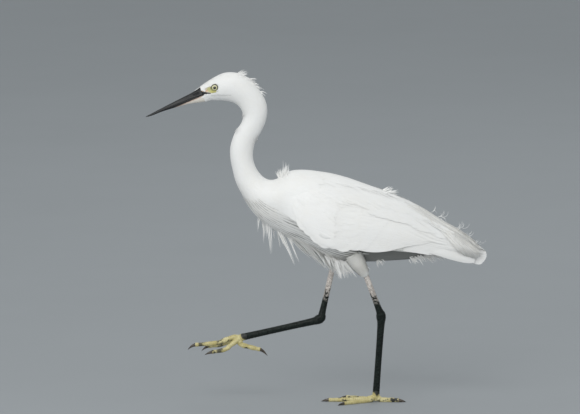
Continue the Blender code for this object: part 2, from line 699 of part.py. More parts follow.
def tail_core(name, grown=0.0):
    """The root of the tail behind the rump, or with growth the space that it needs."""
    angles = np.arange(12) * 2 * math.pi / 12
    rings = []
    for ring, size, drop in ((TORSO_END, 0.92, 0.0), (28.8, 0.78, 1.0), (29.6, 0.5, 2.0), (30.2, 0.3, 3.0)):
        centre = body_frame(ring)[0]
        spoke = body_point(np.full(12, ring), angles) - centre
        rings.append(centre + spoke * size + unit(spoke) * grown - UP * drop)
    rings[0] = rings[0] + np.array([GAP - grown, 0.0, 0.0])
    rings[-1] = rings[-1] + np.array([grown, 0.0, 0.0])
    return loft(name, rings)


def make_tail():
    """A short core at the rump with twelve tail feathers stacked in a low roof, and the loose ones under it."""
    core = tail_core("tail")
    vanes = []
    for i in range(6):
        for side in (-1, 1):
            out = i + 0.5
            root = np.array([91.0, side * out * 0.7, 201.0 - out * 1.0])
            tip = np.array([137.0 - out * 1.7, side * out * 1.7, 190.0 - out * 1.75])
            middle = (root + tip) / 2 + UP * 1.5
            lean = math.radians(16 + 6.5 * i)
            facing = np.array([0.22, side * math.sin(lean), math.cos(lean)])
            vanes.append(free_lock(f"rectrix_{side}_{i}", [root, middle, tip], facing, 11.0,
                                   (0.5, 1.0, 0.9, 0.35), 0.8))
    for i, (x, y, length) in enumerate(((90.0, -4.0, 24.0), (90.0, 3.5, 20.0), (92.0, 0.0, 27.0))):
        root = np.array([x, y, 197.0])
        path = [root, root + np.array([length * 0.5, 0, -12.0]), root + np.array([length, y * 0.2, -18.0])]
        vanes.append(free_lock(f"undertail_{i}", path, (0.3, 0.0, 1.0), 6.0, (0.8, 1.0, 0.3), 0.8))
    fuse(core, vanes)


def thigh_locks(name, hem, down, count, length):
    """The ragged hem of feathers where the bare shank leaves the thigh."""
    locks = []
    first = unit(np.cross(down, SIDE))
    second = np.cross(down, first)
    for i in range(count):
        a = 2 * math.pi * i / count
        out = first * math.cos(a) + second * math.sin(a)
        reach = length * rng.uniform(0.75, 1.15)
        path = [hem - down * 11 + out * 4.6, hem - down * 2 + out * 5.2, hem + down * reach + out * 5.2]
        locks.append(free_lock(f"{name}_lock_{i}", path, out, 4.2, (1.0, 1.0, 0.25), 0.9))
    return locks


def thigh_tube(name, thigh, ankle, grown=0.0):
    """The feathered thigh, or with growth the space that it needs."""
    thigh = np.asarray(thigh, float)
    path = spline(thigh, np.linspace(0, 2, 6))
    radii = np.interp(np.linspace(0, 2, 6), [0, 1, 2], THIGH_RADII) + grown
    path[0] -= unit(path[1] - path[0]) * grown
    reach = np.linalg.norm(path[-1] - path[-2]) + grown
    path[-1] = path[-2] + unit(np.asarray(ankle, float) - thigh[-1]) * reach
    return tube(name, path, [(r, r * 0.92) for r in radii], 12, "plumage"), path[-1]


def thigh_cutters():
    """The space that both thighs need."""
    return [
        thigh_tube("thigh_left_cut", LEFT_THIGH, LEFT_ANKLE, GAP + 0.1)[0],
        thigh_tube("thigh_right_cut", RIGHT_THIGH, RIGHT_ANKLE, GAP + 0.1)[0],
    ]


def make_leg(name, thigh, ankle, foot):
    """Thigh, bare shank and tarsus of one leg, each its own piece, with a knobbed ankle."""
    upper, hem = thigh_tube(f"thigh_{name}", thigh, ankle)
    ankle, foot = np.asarray(ankle, float), np.asarray(foot, float)
    down = unit(ankle - np.asarray(thigh[-1], float))
    fuse(upper, thigh_locks(name, hem, down, 9, 5.5))

    start = hem + down * GAP
    length = np.linalg.norm(ankle - start)
    shares = np.array([0.0, 0.35, 0.62, 0.8, 0.9])
    shank_path = start + down * length * shares[:, None]
    sizes = np.array([SHANK_RADIUS, SHANK_RADIUS * 0.98, SHANK_RADIUS * 1.06, 4.4, 5.0])
    keep_largest(tube(f"shank_{name}", shank_path, [(s, s * 0.88) for s in sizes], 10, "leg_black"))

    along = unit(foot - ankle)
    length = np.linalg.norm(foot - ankle)
    begin = shank_path[-1] + down * GAP
    path = [begin, begin + down * 1.5, ankle + (along - down) * 0.6 + along * 1.5]
    size = [5.0, ANKLE_RADIUS * 0.97, ANKLE_RADIUS]
    for share, radius in TARSUS_STEPS:
        path.append(ankle + along * length * share)
        size.append(radius)
    keep_largest(tube(f"tarsus_{name}", path, [(s, s * 0.84) for s in size], 12, "leg_black"))
    return path[-1] + along * GAP, along


def make_toe(name, points, length_share, flat_z):
    """One toe with its scutes as low steps, and the point and direction where its claw starts."""
    rings = SCUTES_PER_TOE * 2
    path = spline(points, np.linspace(0, len(points) - 1, rings))
    share = np.linspace(0, 1, rings)
    radius = TOE_RADIUS * length_share * (1 - 0.3 * share)
    step = np.where(np.arange(rings) % 2 == 0, 0.93, 1.09)
    sizes = [(r * s, r * s * 0.95) for r, s in zip(radius, step)]
    toe = tube(name, path, sizes, 8, "toe_yellow", flat_z)
    return toe, path[-1], unit(path[-1] - path[-3]), radius[-1]


def make_claw(name, start, ahead, radius, droop, floor):
    """A tapered claw that bends down from the end of its toe."""
    start = start + ahead * (GAP + (0.05 if floor is not None else 0.3))
    path, sizes = [], []
    for share, size in ((0.0, 0.88), (0.35, 0.72), (0.7, 0.45), (1.0, 0.14)):
        point = start + ahead * CLAW_LENGTH * share - UP * droop * share ** 2
        if floor is not None:
            point[2] = floor + radius * size * 0.8
        path.append(point)
        sizes.append((radius * size, radius * size * 0.8))
    keep_largest(tube(name, path, sizes, 8, "claw_dark", floor))


def make_foot(name, start, along, toes, floor):
    """The foot: a short palm that carries four toes, and a claw for each."""
    reach = (0.0, 2.0, 5.0, 7.5) if floor is None else (0.0, 2.0, 5.5, 9.0)
    sizes = [(4.4, 3.7), (4.8, 4.3), (4.5, 4.4), (3.0, 3.2)]
    path = [start + along * length for length in reach]
    if floor is not None:
        path[-1] = start + along * (start[2] - floor + 1.0) / -along[2]
    core = tube(f"foot_{name}", path, sizes, 10, "toe_yellow", floor)
    knot = start + along * 4.0
    pieces = []
    for toe_name, points, share, droop in toes:
        toe, end, ahead, radius = make_toe(f"{name}_{toe_name}", [knot, *points], share, floor)
        pieces.append(toe)
        make_claw(f"claw_{name}_{toe_name}", end, ahead, radius, droop, floor)
    fuse(core, pieces)


def standing_toes(foot):
    """Toes of the left foot, flat on the ground: name, path, size and how far the claw droops."""
    toes = []
    for name, length, angle, share in STANDING_TOES:
        a = math.radians(angle)
        ahead = np.array([-math.cos(a), -math.sin(a), 0.0])
        level = TOE_RADIUS * share * 0.84
        ground = np.array([foot[0], foot[1], 0.0])
        points = [ground + ahead * length * part + UP * level * (1 - 0.3 * part) for part in (0.22, 0.6, 1.0)]
        toes.append((name, points, share, 0.8))
    return toes


def lifted_toes():
    """Toes of the right foot, let down and a little spread as it reaches forward."""
    return [
        ("inner", [(-181.0, 8.5, 71.0), (-189.0, 4.0, 65.5), (-205.5, -1.0, 63.2)], 0.95, 1.4),
        ("middle", [(-181.0, 13.5, 79.0), (-199.0, 14.5, 72.5), (-226.5, 15.0, 69.8)], 1.0, 5.0),
        ("outer", [(-179.0, 17.5, 76.0), (-192.0, 24.0, 69.0), (-210.0, 30.0, 65.5)], 0.95, 3.6),
        ("hind", [(-170.0, 12.5, 71.5), (-158.0, 12.0, 67.5), (-145.0, 11.5, 64.4)], 1.05, 4.0),
    ]


def make_egret():
    """Clears the scene and makes every piece."""
    for old in list(bpy.data.objects):
        bpy.data.objects.remove(old)
    make_bill()
    make_head()
    make_neck()
    make_torso()
    make_wing("wing_left", False)
    make_wing("wing_right", True)
    make_tail()
    start, along = make_leg("left", LEFT_THIGH, LEFT_ANKLE, LEFT_FOOT)
    make_foot("left", start, along, standing_toes(LEFT_FOOT), 0.0)
    start, along = make_leg("right", RIGHT_THIGH, RIGHT_ANKLE, RIGHT_FOOT)
    make_foot("right", start, along, lifted_toes(), None)


make_egret()
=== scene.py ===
# %% [markdown]
# A little egret in mid-step, made as a museum would show it: white plumage, a black dagger of a bill,
# black legs and yellow feet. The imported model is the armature. It fixes every size and place.
# Everything below is dressed on it: one skin, then the coat feather by feather, then bill, eyes, legs
# and feet. Lengths are millimetres in the formulas, and each mesh is turned to metres once, when it is made.

# %% Load the armature
import math

import bpy
import json
import numpy as np
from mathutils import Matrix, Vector

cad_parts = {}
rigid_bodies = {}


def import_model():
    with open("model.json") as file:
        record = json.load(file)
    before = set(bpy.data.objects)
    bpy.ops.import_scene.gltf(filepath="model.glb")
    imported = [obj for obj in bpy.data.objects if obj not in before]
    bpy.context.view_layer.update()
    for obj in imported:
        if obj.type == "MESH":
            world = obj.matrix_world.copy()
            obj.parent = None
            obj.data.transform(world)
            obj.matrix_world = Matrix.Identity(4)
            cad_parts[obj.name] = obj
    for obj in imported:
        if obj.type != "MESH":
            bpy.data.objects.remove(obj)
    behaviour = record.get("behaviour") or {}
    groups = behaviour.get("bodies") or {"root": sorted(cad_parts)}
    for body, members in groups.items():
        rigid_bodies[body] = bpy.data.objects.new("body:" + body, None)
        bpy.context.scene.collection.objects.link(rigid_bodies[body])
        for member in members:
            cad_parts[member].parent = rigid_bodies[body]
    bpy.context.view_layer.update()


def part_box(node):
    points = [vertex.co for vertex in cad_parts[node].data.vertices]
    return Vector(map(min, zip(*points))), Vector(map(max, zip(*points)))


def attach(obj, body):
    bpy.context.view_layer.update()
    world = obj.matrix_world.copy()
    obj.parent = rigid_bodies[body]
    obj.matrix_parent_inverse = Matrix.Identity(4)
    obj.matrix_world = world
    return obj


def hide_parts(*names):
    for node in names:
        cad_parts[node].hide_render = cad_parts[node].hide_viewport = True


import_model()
MM = 0.001
UP = np.array([0.0, 0.0, 1.0])
SIDE = np.array([0.0, 1.0, 0.0])

# %% [markdown]
# The trunk of a bird is one smooth bag from the face, over the bent neck, to the rump. It could be sculpted,
# but a feather needs to know which way the body runs under it. So the bag is a function of two numbers:
# ring, counted from the face to the tail, and angle, which goes round from the back over the left side
# to the belly. The rings repeat the driving dimensions of the solids.

# %% Rings of the body
BODY_RINGS = np.array([
    (-219.4, 398.2, -212.6, 379.1, 6.6), (-210.0, 405.1, -206.9, 380.7, 9.2),
    (-200.0, 411.0, -200.0, 381.0, 11.4), (-190.0, 415.3, -191.2, 380.9, 12.7),
    (-178.8, 416.1, -181.9, 379.5, 13.2), (-166.2, 413.1, -175.0, 376.7, 13.0),
    (-155.0, 405.1, -170.2, 372.5, 12.4), (-145.0, 393.1, -167.5, 367.9, 11.8),
    (-138.1, 380.5, -166.0, 363.1, 11.4), (-135.9, 367.9, -166.2, 357.8, 11.4),
    (-137.8, 355.3, -169.2, 350.8, 11.6), (-143.1, 342.6, -175.0, 342.6, 11.8),
    (-149.4, 331.9, -179.2, 332.8, 12.0), (-153.1, 321.2, -182.0, 321.2, 12.2),
    (-153.8, 308.6, -181.8, 307.9, 12.6), (-150.6, 297.2, -179.4, 294.7, 13.4),
    (-144.4, 287.7, -175.0, 278.3, 15.0), (-136.2, 281.4, -167.5, 263.1, 18.0),
    (-126.2, 280.8, -157.5, 246.7, 23.0), (-115.0, 286.5, -142.5, 229.7, 29.0),
    (-103.8, 292.0, -120.0, 215.2, 34.0), (-82.5, 292.0, -95.0, 203.2, 38.0),
    (-60.0, 288.0, -70.0, 191.2, 40.0), (-37.5, 281.0, -45.0, 182.0, 39.5),
    (-12.5, 271.5, -17.5, 178.5, 36.5), (15.0, 260.0, 12.5, 179.5, 31.5),
    (40.0, 246.5, 40.0, 181.5, 25.5), (62.5, 232.5, 65.0, 184.5, 19.5),
    (84.0, 218.5, 85.0, 188.5, 14.0), (100.0, 209.5, 101.0, 191.5, 11.5),
    (115.0, 201.0, 116.0, 191.5, 9.5), (128.0, 193.5, 129.0, 188.5, 8.0),
    (140.0, 187.5, 141.0, 185.5, 7.0),
])
WHOLE_TURN = 2 * math.pi
FLIP = np.array([1.0, -1.0, 1.0])


def spline(rows, at):
    """Catmull-Rom: a cubic between two rows whose slope at each row is half the step from the one before
    to the one after."""
    rows = np.asarray(rows, float)
    at = np.clip(np.asarray(at, float), 0, len(rows) - 1)
    i = np.minimum(at.astype(int), len(rows) - 2)
    t = (at - i)[..., None]
    here, there = rows[i], rows[i + 1]
    slope_here = (there - rows[np.maximum(i - 1, 0)]) / 2
    slope_there = (rows[np.minimum(i + 2, len(rows) - 1)] - here) / 2
    square, cube = t * t, t * t * t
    return ((2 * cube - 3 * square + 1) * here + (cube - 2 * square + t) * slope_here
            + (3 * square - 2 * cube) * there + (cube - square) * slope_there)


def smooth(value):
    """3v^2 - 2v^3 for v from 0 to 1, level outside."""
    value = np.clip(value, 0, 1)
    return value * value * (3 - 2 * value)


def unit(vector):
    """The vector divided by its length."""
    return vector / np.maximum(np.linalg.norm(vector, axis=-1, keepdims=True), 1e-9)


def rooted(t, part):
    """1 at a feather's root, falling to 0 at a part of its length: how much of it is sunk in the coat."""
    return 1 - smooth(t / part)


def turns(count):
    """That many angles, evenly round a whole turn."""
    return np.arange(count) / count * WHOLE_TURN


def run_along(points):
    """How far each point lies along the line through them."""
    return np.concatenate([[0], np.cumsum(np.linalg.norm(np.diff(points, axis=0), axis=1))])


def from_ridge(angle):
    """The angle from the middle of the back, from 0 to pi on either side."""
    return np.abs(np.mod(angle + math.pi, WHOLE_TURN) - math.pi)


def ribbon(centres, facing):
    """For centre lines of shape (strands, stations, 3): the unit vector across a strand that faces a way, and
    its normal."""
    tangents = unit(np.gradient(centres, axis=1))
    across = unit(np.cross(np.broadcast_to(facing, centres.shape), tangents))
    return across, np.cross(tangents, across)


def body_frame(ring):
    """Middle of the back and belly points, half the step between them, and half the width."""
    row = spline(BODY_RINGS, ring)
    back = np.stack([row[..., 0], 0 * row[..., 0], row[..., 1]], -1)
    belly = np.stack([row[..., 2], 0 * row[..., 0], row[..., 3]], -1)
    return (back + belly) / 2, (back - belly) / 2, row[..., 4]


def body_point(ring, angle):
    """Middle + half height * cos(angle) - side * width * sin(angle), a fifth wider above than below on the
    trunk."""
    centre, half, width = body_frame(ring)
    egg = 1 + 0.2 * smooth((np.asarray(ring) - 17) / 3) * np.cos(angle)
    return centre + half * np.cos(angle)[..., None] - SIDE * (width * np.sin(angle) * egg)[..., None]


def outward(surface, ring, angle):
    """The unit normal: the step round the body crossed with the step along it."""
    step = 1e-3
    along = surface(ring + step, angle) - surface(ring - step, angle)
    around = surface(ring, angle + step) - surface(ring, angle - step)
    return unit(np.cross(around, along))


def speeds(surface, ring, angle):
    """Millimetres for one whole ring and for one radian, at each place."""
    step = 1e-2
    along = np.linalg.norm(surface(ring + step, angle) - surface(ring - step, angle), axis=-1) / (2 * step)
    around = np.linalg.norm(surface(ring, angle + step) - surface(ring, angle - step), axis=-1) / (2 * step)
    return np.maximum(along, 1.5), np.maximum(around, 1.0)


girth = speeds(body_point, np.full(64, 20.0), np.linspace(0, WHOLE_TURN, 64))[1].mean() * WHOLE_TURN
print("body:", len(BODY_RINGS), "rings, girth at the shoulder", round(float(girth)), "mm")

# %% [markdown]
# A folded wing lies on the flank like a cupped hand. Its upper and lower edges are angles round the body,
# and its outside is the body pushed out, fuller below, so that it hangs clear of the belly.
# The long feathers of the back lie on a third surface, just clear of the mantle and of both wings.

# %% Surfaces of the folded wing and of the back
WING_AT = np.array([20.4, 21.0, 22.0, 23.0, 24.0, 25.0, 26.0, 27.0, 28.0, 29.0, 30.0, 31.0])
WING_TOP = np.radians([64, 50, 40, 34, 28, 23, 19, 17, 18, 22, 30, 40])
WING_LOW = np.radians([90, 117, 133, 127, 126, 124, 127, 131, 129, 120, 108, 98])
WING_LIFT, WING_EDGE_LIFT = 5.2, 0.9
WING_BEGINS, WING_BLEND = 19.3, 1.9
BED_AT = [21.5, 23, 24, 25, 26, 27, 28, 29, 30, 31, 32]
BED_HEIGHT = [0, 2.2, 2.8, 4.4, 7.0, 8.0, 8.2, 8.0, 7.0, 4.0, 1]


def wing_top(ring):
    """Angle of the wing's upper edge."""
    return np.interp(ring, WING_AT, WING_TOP)


def wing_low(ring):
    """Angle of the wing's lower edge."""
    return np.interp(ring, WING_AT, WING_LOW)


def across_wing(ring, share):
    """Angle at a share of the way from the upper edge to the lower one."""
    return wing_top(ring) + share * (wing_low(ring) - wing_top(ring))


def wing_lift(ring, angle):
    """How far the wing stands off the body: little at its edges, most inside them."""
    return WING_EDGE_LIFT + WING_LIFT * smooth((angle - wing_top(ring)) / 0.5) * smooth((ring - 20.0) / 0.9)


def wing_surface(ring, angle):
    """The body grown by the lift, its sine raised to a power under one below, which fills it out."""
    centre, half, width = body_frame(ring)
    lift = wing_lift(ring, angle)
    grown = half * (1 + lift / np.linalg.norm(half, axis=-1))[..., None]
    fullness = 1 - 0.42 * smooth(-np.cos(angle) * 1.4)
    across = (width + lift) * np.sign(np.sin(angle)) * np.abs(np.sin(angle)) ** fullness
    return centre + grown * np.cos(angle)[..., None] - SIDE * across[..., None]


def over_wing(ring, angle):
    """0 on the bare mantle and 1 where a wing lies under the feathers of the back."""
    size = from_ridge(angle)
    near = smooth((size - wing_top(ring) + 0.3) / 0.25)
    return smooth((ring - 20.0) / 0.6) * np.maximum(near, smooth((ring - 25.5) / 1.5))


def plume_bed(ring, size):
    """How far the bed of loose plumes stands over the ridge of the hind back. It is gone a radian down the
    side."""
    return np.interp(ring, BED_AT, BED_HEIGHT) * (1 - smooth((size - 0.1) / 0.95))


def back_surface(ring, angle):
    """The body grown by a little, by the wing's lift where a wing lies below, and by the bed of plumes."""
    centre, half, width = body_frame(ring)
    size = from_ridge(angle)
    lift = 0.5 + (wing_lift(ring, size) + 0.6) * over_wing(ring, angle) + plume_bed(ring, size)
    grown = half * (1 + lift / np.linalg.norm(half, axis=-1))[..., None]
    return centre + grown * np.cos(angle)[..., None] - SIDE * ((width + lift) * np.sin(angle))[..., None]


# %% [markdown]
# Every piece ends as a mesh of plain arrays. One small function takes points and faces in any number of
# corners, with what a material may want to read: UV maps, and values kept at each point. It also hides the
# solids of the armature that the piece stands for, and gives it its material.

# %% From arrays to a piece
def mesh_piece(name, points, faces, finish, stands_for=(), maps=None, values=None, shading=None):
    """Points are millimetres. Faces is a list of index arrays, one for each number of corners.
    A map is two numbers for each point, or for each corner; a value is one number for each point.
    Shading is a normal for each corner, where light should fall as on a smoother shape. Zero leaves it."""
    mesh = bpy.data.meshes.new(name)
    mesh.vertices.add(len(points))
    mesh.vertices.foreach_set("co", (np.asarray(points) * MM).astype(np.float32).ravel())
    corners = np.concatenate([f.ravel() for f in faces]).astype(np.int32)
    sizes = np.concatenate([np.full(len(f), f.shape[1]) for f in faces])
    mesh.loops.add(len(corners))
    mesh.loops.foreach_set("vertex_index", corners)
    mesh.polygons.add(len(sizes))
    mesh.polygons.foreach_set("loop_start", (np.cumsum(sizes) - sizes).astype(np.int32))
    mesh.update(calc_edges=True)
    for map_name, uv in (maps or {}).items():
        uv = uv if len(uv) == len(corners) else uv[corners]
        mesh.uv_layers.new(name=map_name).data.foreach_set("uv", uv.astype(np.float32).ravel())
    for value_name, value in (values or {}).items():
        mesh.attributes.new(value_name, "FLOAT", "POINT").data.foreach_set("value", value.astype(np.float32))
    mesh.shade_smooth()
    if shading is not None:
        mesh.normals_split_custom_set(shading.astype(np.float32))
    mesh.materials.append(finish)
    piece = bpy.data.objects.new(name, mesh)
    bpy.context.scene.collection.objects.link(piece)
    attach(piece, "root")
    if stands_for:
        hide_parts(*stands_for)
    print(f"{name}: {int((sizes - 2).sum())} triangles")
    return piece


def closed_grid(points):
    """Quads of a (rings, sides, 3) grid that wraps round its sides, and fans to a middle point at each end.
    All are turned round together if they enclose a negative volume."""
    rings, sides, _ = points.shape
    i, j = np.meshgrid(np.arange(rings - 1), np.arange(sides), indexing="ij")
    k = (j + 1) % sides
    here, ahead = i * sides, (i + 1) * sides
    quads = np.stack([here + j, here + k, ahead + k, ahead + j], -1).reshape(-1, 4)
    flat = np.concatenate([points.reshape(-1, 3), points[:1].mean(1), points[-1:].mean(1)])
    first, last, ends = rings * sides, rings * sides + 1, (rings - 1) * sides
    turn = np.arange(sides)
    after = (turn + 1) % sides
    fans = np.concatenate([
        np.stack([np.full(sides, first), after, turn], -1),
        np.stack([np.full(sides, last), ends + turn, ends + after], -1),
    ])
    corners = np.concatenate([quads[:, [0, 1, 2]], quads[:, [0, 2, 3]], fans])
    if np.linalg.det(flat[corners] - flat.mean(0)).sum() < 0:
        quads, fans = quads[:, ::-1], fans[:, ::-1]
    return flat, quads, fans


def closed_piece(name, grid, finish, stands_for=()):
    """A piece whose surface is one closed grid."""
    points, quads, fans = closed_grid(grid)
    return mesh_piece(name, points, [quads, fans], finish, stands_for)


def unwrap(faces, rings, sides, box):
    """Corners of a closed grid's faces on a rectangle (u0, v0, u1, v1): u along its rings, v round its sides.
    A face that crosses the seam counts its last side as one more, and an end's middle point takes v = 1/2."""
    ring, side = faces // sides, (faces % sides).astype(float)
    pole = faces >= rings * sides
    crosses = ((side == sides - 1) & ~pole).any(1, keepdims=True)
    side = np.where(crosses & (side == 0) & ~pole, sides, side)
    u = np.where(pole, faces - rings * sides, ring / (rings - 1))
    v = np.where(pole, 0.5, side / sides)
    return np.stack([box[0] + (box[2] - box[0]) * u, box[1] + (box[3] - box[1]) * v], -1).reshape(-1, 2)


def join_grids(grids, boxes=None):
    """Several closed grids as one set of points, quads and triangles, with the map of each on its own box."""
    flats, quads, fans, start = [], [], [], 0
    maps = [[], []]
    for place, grid in enumerate(grids):
        flat, four, three = closed_grid(grid)
        flats.append(flat)
        quads.append(four + start)
        fans.append(three + start)
        start += len(flat)
        if boxes:
            maps[0].append(unwrap(four, *grid.shape[:2], boxes[place]))
            maps[1].append(unwrap(three, *grid.shape[:2], boxes[place]))
    joined = np.concatenate(flats), np.concatenate(quads), np.concatenate(fans)
    return (*joined, np.concatenate(maps[0] + maps[1])) if boxes else joined

# %% [markdown]
# White feathers aren't one white. They are warmer where they are worn and thick, cooler in the shade of
# others, and each vane catches the light on its fine slanted barbs. Three effects are built once, as node
# groups, and placed where a material shows them: barbs, mottling and scales. A picture texture could do it,
# but nodes stay sharp at any distance.

# %% Node groups
def group(name, inputs, outputs, build):
    """A shader group with float inputs and outputs by name. Build gets a maker of nodes and the input
    sockets."""
    tree = bpy.data.node_groups.new(name, "ShaderNodeTree")
    for label, value in inputs.items():
        tree.interface.new_socket(label, in_out="INPUT", socket_type="NodeSocketFloat").default_value = value
    for label in outputs:
        tree.interface.new_socket(label, in_out="OUTPUT", socket_type="NodeSocketFloat")
    entry, leave = tree.nodes.new("NodeGroupInput"), tree.nodes.new("NodeGroupOutput")
    for label, socket in build(Wiring(tree), entry.outputs).items():
        tree.links.new(socket, leave.inputs[label])
    return tree


class Wiring:
    """Short calls for the nodes used here. A number or a colour stays on its socket, and a socket is linked
    to it."""

    def __init__(self, tree):
        self.tree = tree

    def put(self, kind, settings=None, **sockets):
        """A node with its settings, and its inputs by name or, written _0 and _1, by place."""
        node = self.tree.nodes.new("ShaderNode" + kind)
        for key, value in (settings or {}).items():
            setattr(node, key, value)
        for key, value in sockets.items():
            socket = node.inputs[int(key[1:])] if key[0] == "_" else node.inputs[key.replace("_", " ")]
            if isinstance(value, bpy.types.NodeSocket):
                self.tree.links.new(value, socket)
            else:
                socket.default_value = value
        return node

    def maths(self, operation, a, b=0.0, c=0.0):
        """A Math node's result."""
        return self.put("Math", {"operation": operation}, _0=a, _1=b, _2=c).outputs[0]

    def times(self, a, b):
        """a * b."""
        return self.maths("MULTIPLY", a, b)

    def minus(self, a, b):
        """a - b."""
        return self.maths("SUBTRACT", a, b)

    def here(self):
        """x, y and z of the place on the piece, in metres."""
        return self.put("SeparateXYZ", _0=self.put("TexCoord").outputs["Object"]).outputs

    def relief(self, height, depth, strength=0.5):
        """The normal of a surface raised by a height of 0 to 1 times a depth in metres."""
        return self.put("Bump", Height=height, Distance=depth, Strength=strength).outputs[0]

    def blend(self, share, a, b, way="MIX"):
        """Colour a, mixed with colour b by the share."""
        a, b = (colour if isinstance(colour, bpy.types.NodeSocket) else (*colour, 1) for colour in (a, b))
        settings = {"data_type": "RGBA", "blend_type": way, "clamp_factor": True}
        return self.put("Mix", settings, _0=share, _6=a, _7=b).outputs[2]

    def step(self, value, low, high):
        """0 at low, 1 at high, an S curve between."""
        node = self.put("MapRange", {"interpolation_type": "SMOOTHSTEP"}, _0=value, _1=low, _2=high)
        return node.outputs[0]

    def value(self, name):
        """What a point of the mesh keeps under that name."""
        return self.put("Attribute", {"attribute_name": name}).outputs["Fac"]

    def across(self):
        """The vane map: across the feather, and along it from root to tip."""
        split = self.put("SeparateXYZ", _0=self.put("UVMap", {"uv_map": "Vane"}).outputs[0])
        return split.outputs[0], split.outputs[1]

    def noise(self, scale):
        """Noise on the piece's own coordinates, from 0 to 1."""
        place = self.put("TexCoord").outputs["Object"]
        return self.put("TexNoise", Vector=place, Scale=scale, Detail=3.0, Roughness=0.5).outputs[0]


def build_barbs(wires, given):
    """Height = wave of (count * along - slant * distance from the shaft), and a round shaft in the middle."""
    u, v = wires.across()
    off = wires.maths("ABSOLUTE", wires.minus(u, 0.5))
    phase = wires.minus(wires.times(v, given["Count"]), wires.times(off, given["Slant"]))
    wave = wires.maths("SINE", wires.times(phase, WHOLE_TURN))
    shaft = wires.minus(1.0, wires.step(off, 0.0, given["Shaft"]))
    height = wires.maths("MULTIPLY_ADD", wave, 0.3, wires.times(shaft, 1.5))
    return {"Height": height}


def build_mottle(wires, given):
    """Two sizes of noise, the small one a fifth of the size of the large."""
    large = wires.noise(given["Scale"])
    small = wires.noise(wires.times(given["Scale"], 5.0))
    both = wires.maths("MULTIPLY_ADD", small, 0.35, wires.times(large, 0.65))
    return {"Mask": wires.step(both, given["From"], given["To"])}


def build_scales(wires, given):
    """Rounded cells of Voronoi noise: the distance to each cell's edge, risen quickly to a flat top."""
    place = wires.put("TexCoord").outputs["Object"]
    cells = wires.put("TexVoronoi", {"feature": "DISTANCE_TO_EDGE"}, Vector=place, Scale=given["Scale"])
    top = wires.step(cells.outputs["Distance"], 0.0, given["Groove"])
    return {"Height": top, "Groove": wires.minus(1.0, top)}


BARBS = group("feather barbs", {"Count": 40.0, "Slant": 18.0, "Shaft": 0.06}, ["Height"], build_barbs)
MOTTLE = group("mottling", {"Scale": 60.0, "From": 0.3, "To": 0.7}, ["Mask"], build_mottle)
SCALES = group("small scales", {"Scale": 700.0, "Groove": 0.2}, ["Height", "Groove"], build_scales)
print("groups:", BARBS.name, MOTTLE.name, SCALES.name)

# %% [markdown]
# The plumage finish starts from one white. The value cream warms it. Painted shade greys it where plumes
# are thin or stay in the shade, and the root of each vane is a little darker, painted shade as light dies
# between layers. Tint varies it from feather to feather.

# %% Plumage
def material(name, build, **constants):
    """A Principled material. Build gets the wires and the shader. Constants go on the shader's own
    sockets."""
    made = bpy.data.materials.new(name)
    made.use_nodes = True
    shader = made.node_tree.nodes["Principled BSDF"]
    for label, value in constants.items():
        shader.inputs[label.replace("_", " ")].default_value = value
    build(Wiring(made.node_tree), shader)
    return made


def link(wires, shader, **sockets):
    """Links results to the shader's sockets by name."""
    for label, socket in sockets.items():
        wires.tree.links.new(socket, shader.inputs[label.replace("_", " ")])


def use(wires, tree, **sockets):
    """A placed group, with its own values."""
    return wires.put("Group", {"node_tree": tree}, **sockets).outputs


WHITE, WARM = (0.885, 0.89, 0.885), (0.88, 0.87, 0.835)
# Cream, and the grey of painted shade.
CREAM, PAINTED_SHADE_GREY = (0.80, 0.74, 0.60), (0.20, 0.205, 0.195)


def plumage(barb_count, bump_depth):
    """The wiring of a plumage finish, for vanes of that many barbs and that relief in metres."""
    def build(wires, shader):
        _, along = wires.across()
        mottle = use(wires, MOTTLE, Scale=38.0, From=0.35, To=0.7)["Mask"]
        colour = wires.blend(wires.times(mottle, 0.5), WHITE, WARM)
        colour = wires.blend(wires.value("cream"), colour, CREAM)
        # Painted shade: greyed by the value kept at each point, and a little darker at each vane's root.
        colour = wires.blend(wires.value("dusk"), colour, PAINTED_SHADE_GREY)
        root = wires.minus(1.0, wires.step(along, 0.0, 0.5))
        colour = wires.blend(wires.times(root, 0.12), colour, (0.6, 0.6, 0.57), "MULTIPLY")
        tint = wires.times(wires.value("tint"), 0.05)
        colour = wires.blend(tint, colour, (0.6, 0.6, 0.6), "MULTIPLY")
        barbs = use(wires, BARBS, Count=barb_count, Slant=barb_count * 0.4)["Height"]
        rough = wires.maths("MULTIPLY_ADD", mottle, 0.12, 0.55)
        link(wires, shader, Base_Color=colour, Roughness=rough, Normal=wires.relief(barbs, bump_depth))
    return build


SOFT = material("soft feathers", plumage(14.0, 0.00004), Sheen_Weight=0.2, Sheen_Roughness=0.5,
                Specular_IOR_Level=0.3)
FIRM = material("firm feathers", plumage(60.0, 0.00006), Sheen_Weight=0.1, Specular_IOR_Level=0.35)
print("plumage:", SOFT.name, "and", FIRM.name)

# %% [markdown]
# A feather is a shaft with a vane on each side. From near by it is a thin, slightly cupped blade: narrow at
# the root, full in the middle, rounded or drawn to a point. It could be a curve object with a profile, but
# tens of thousands of curves would be slow. Here all feathers of a kind are one array: stations along each,
# and a few points round its section at each station.

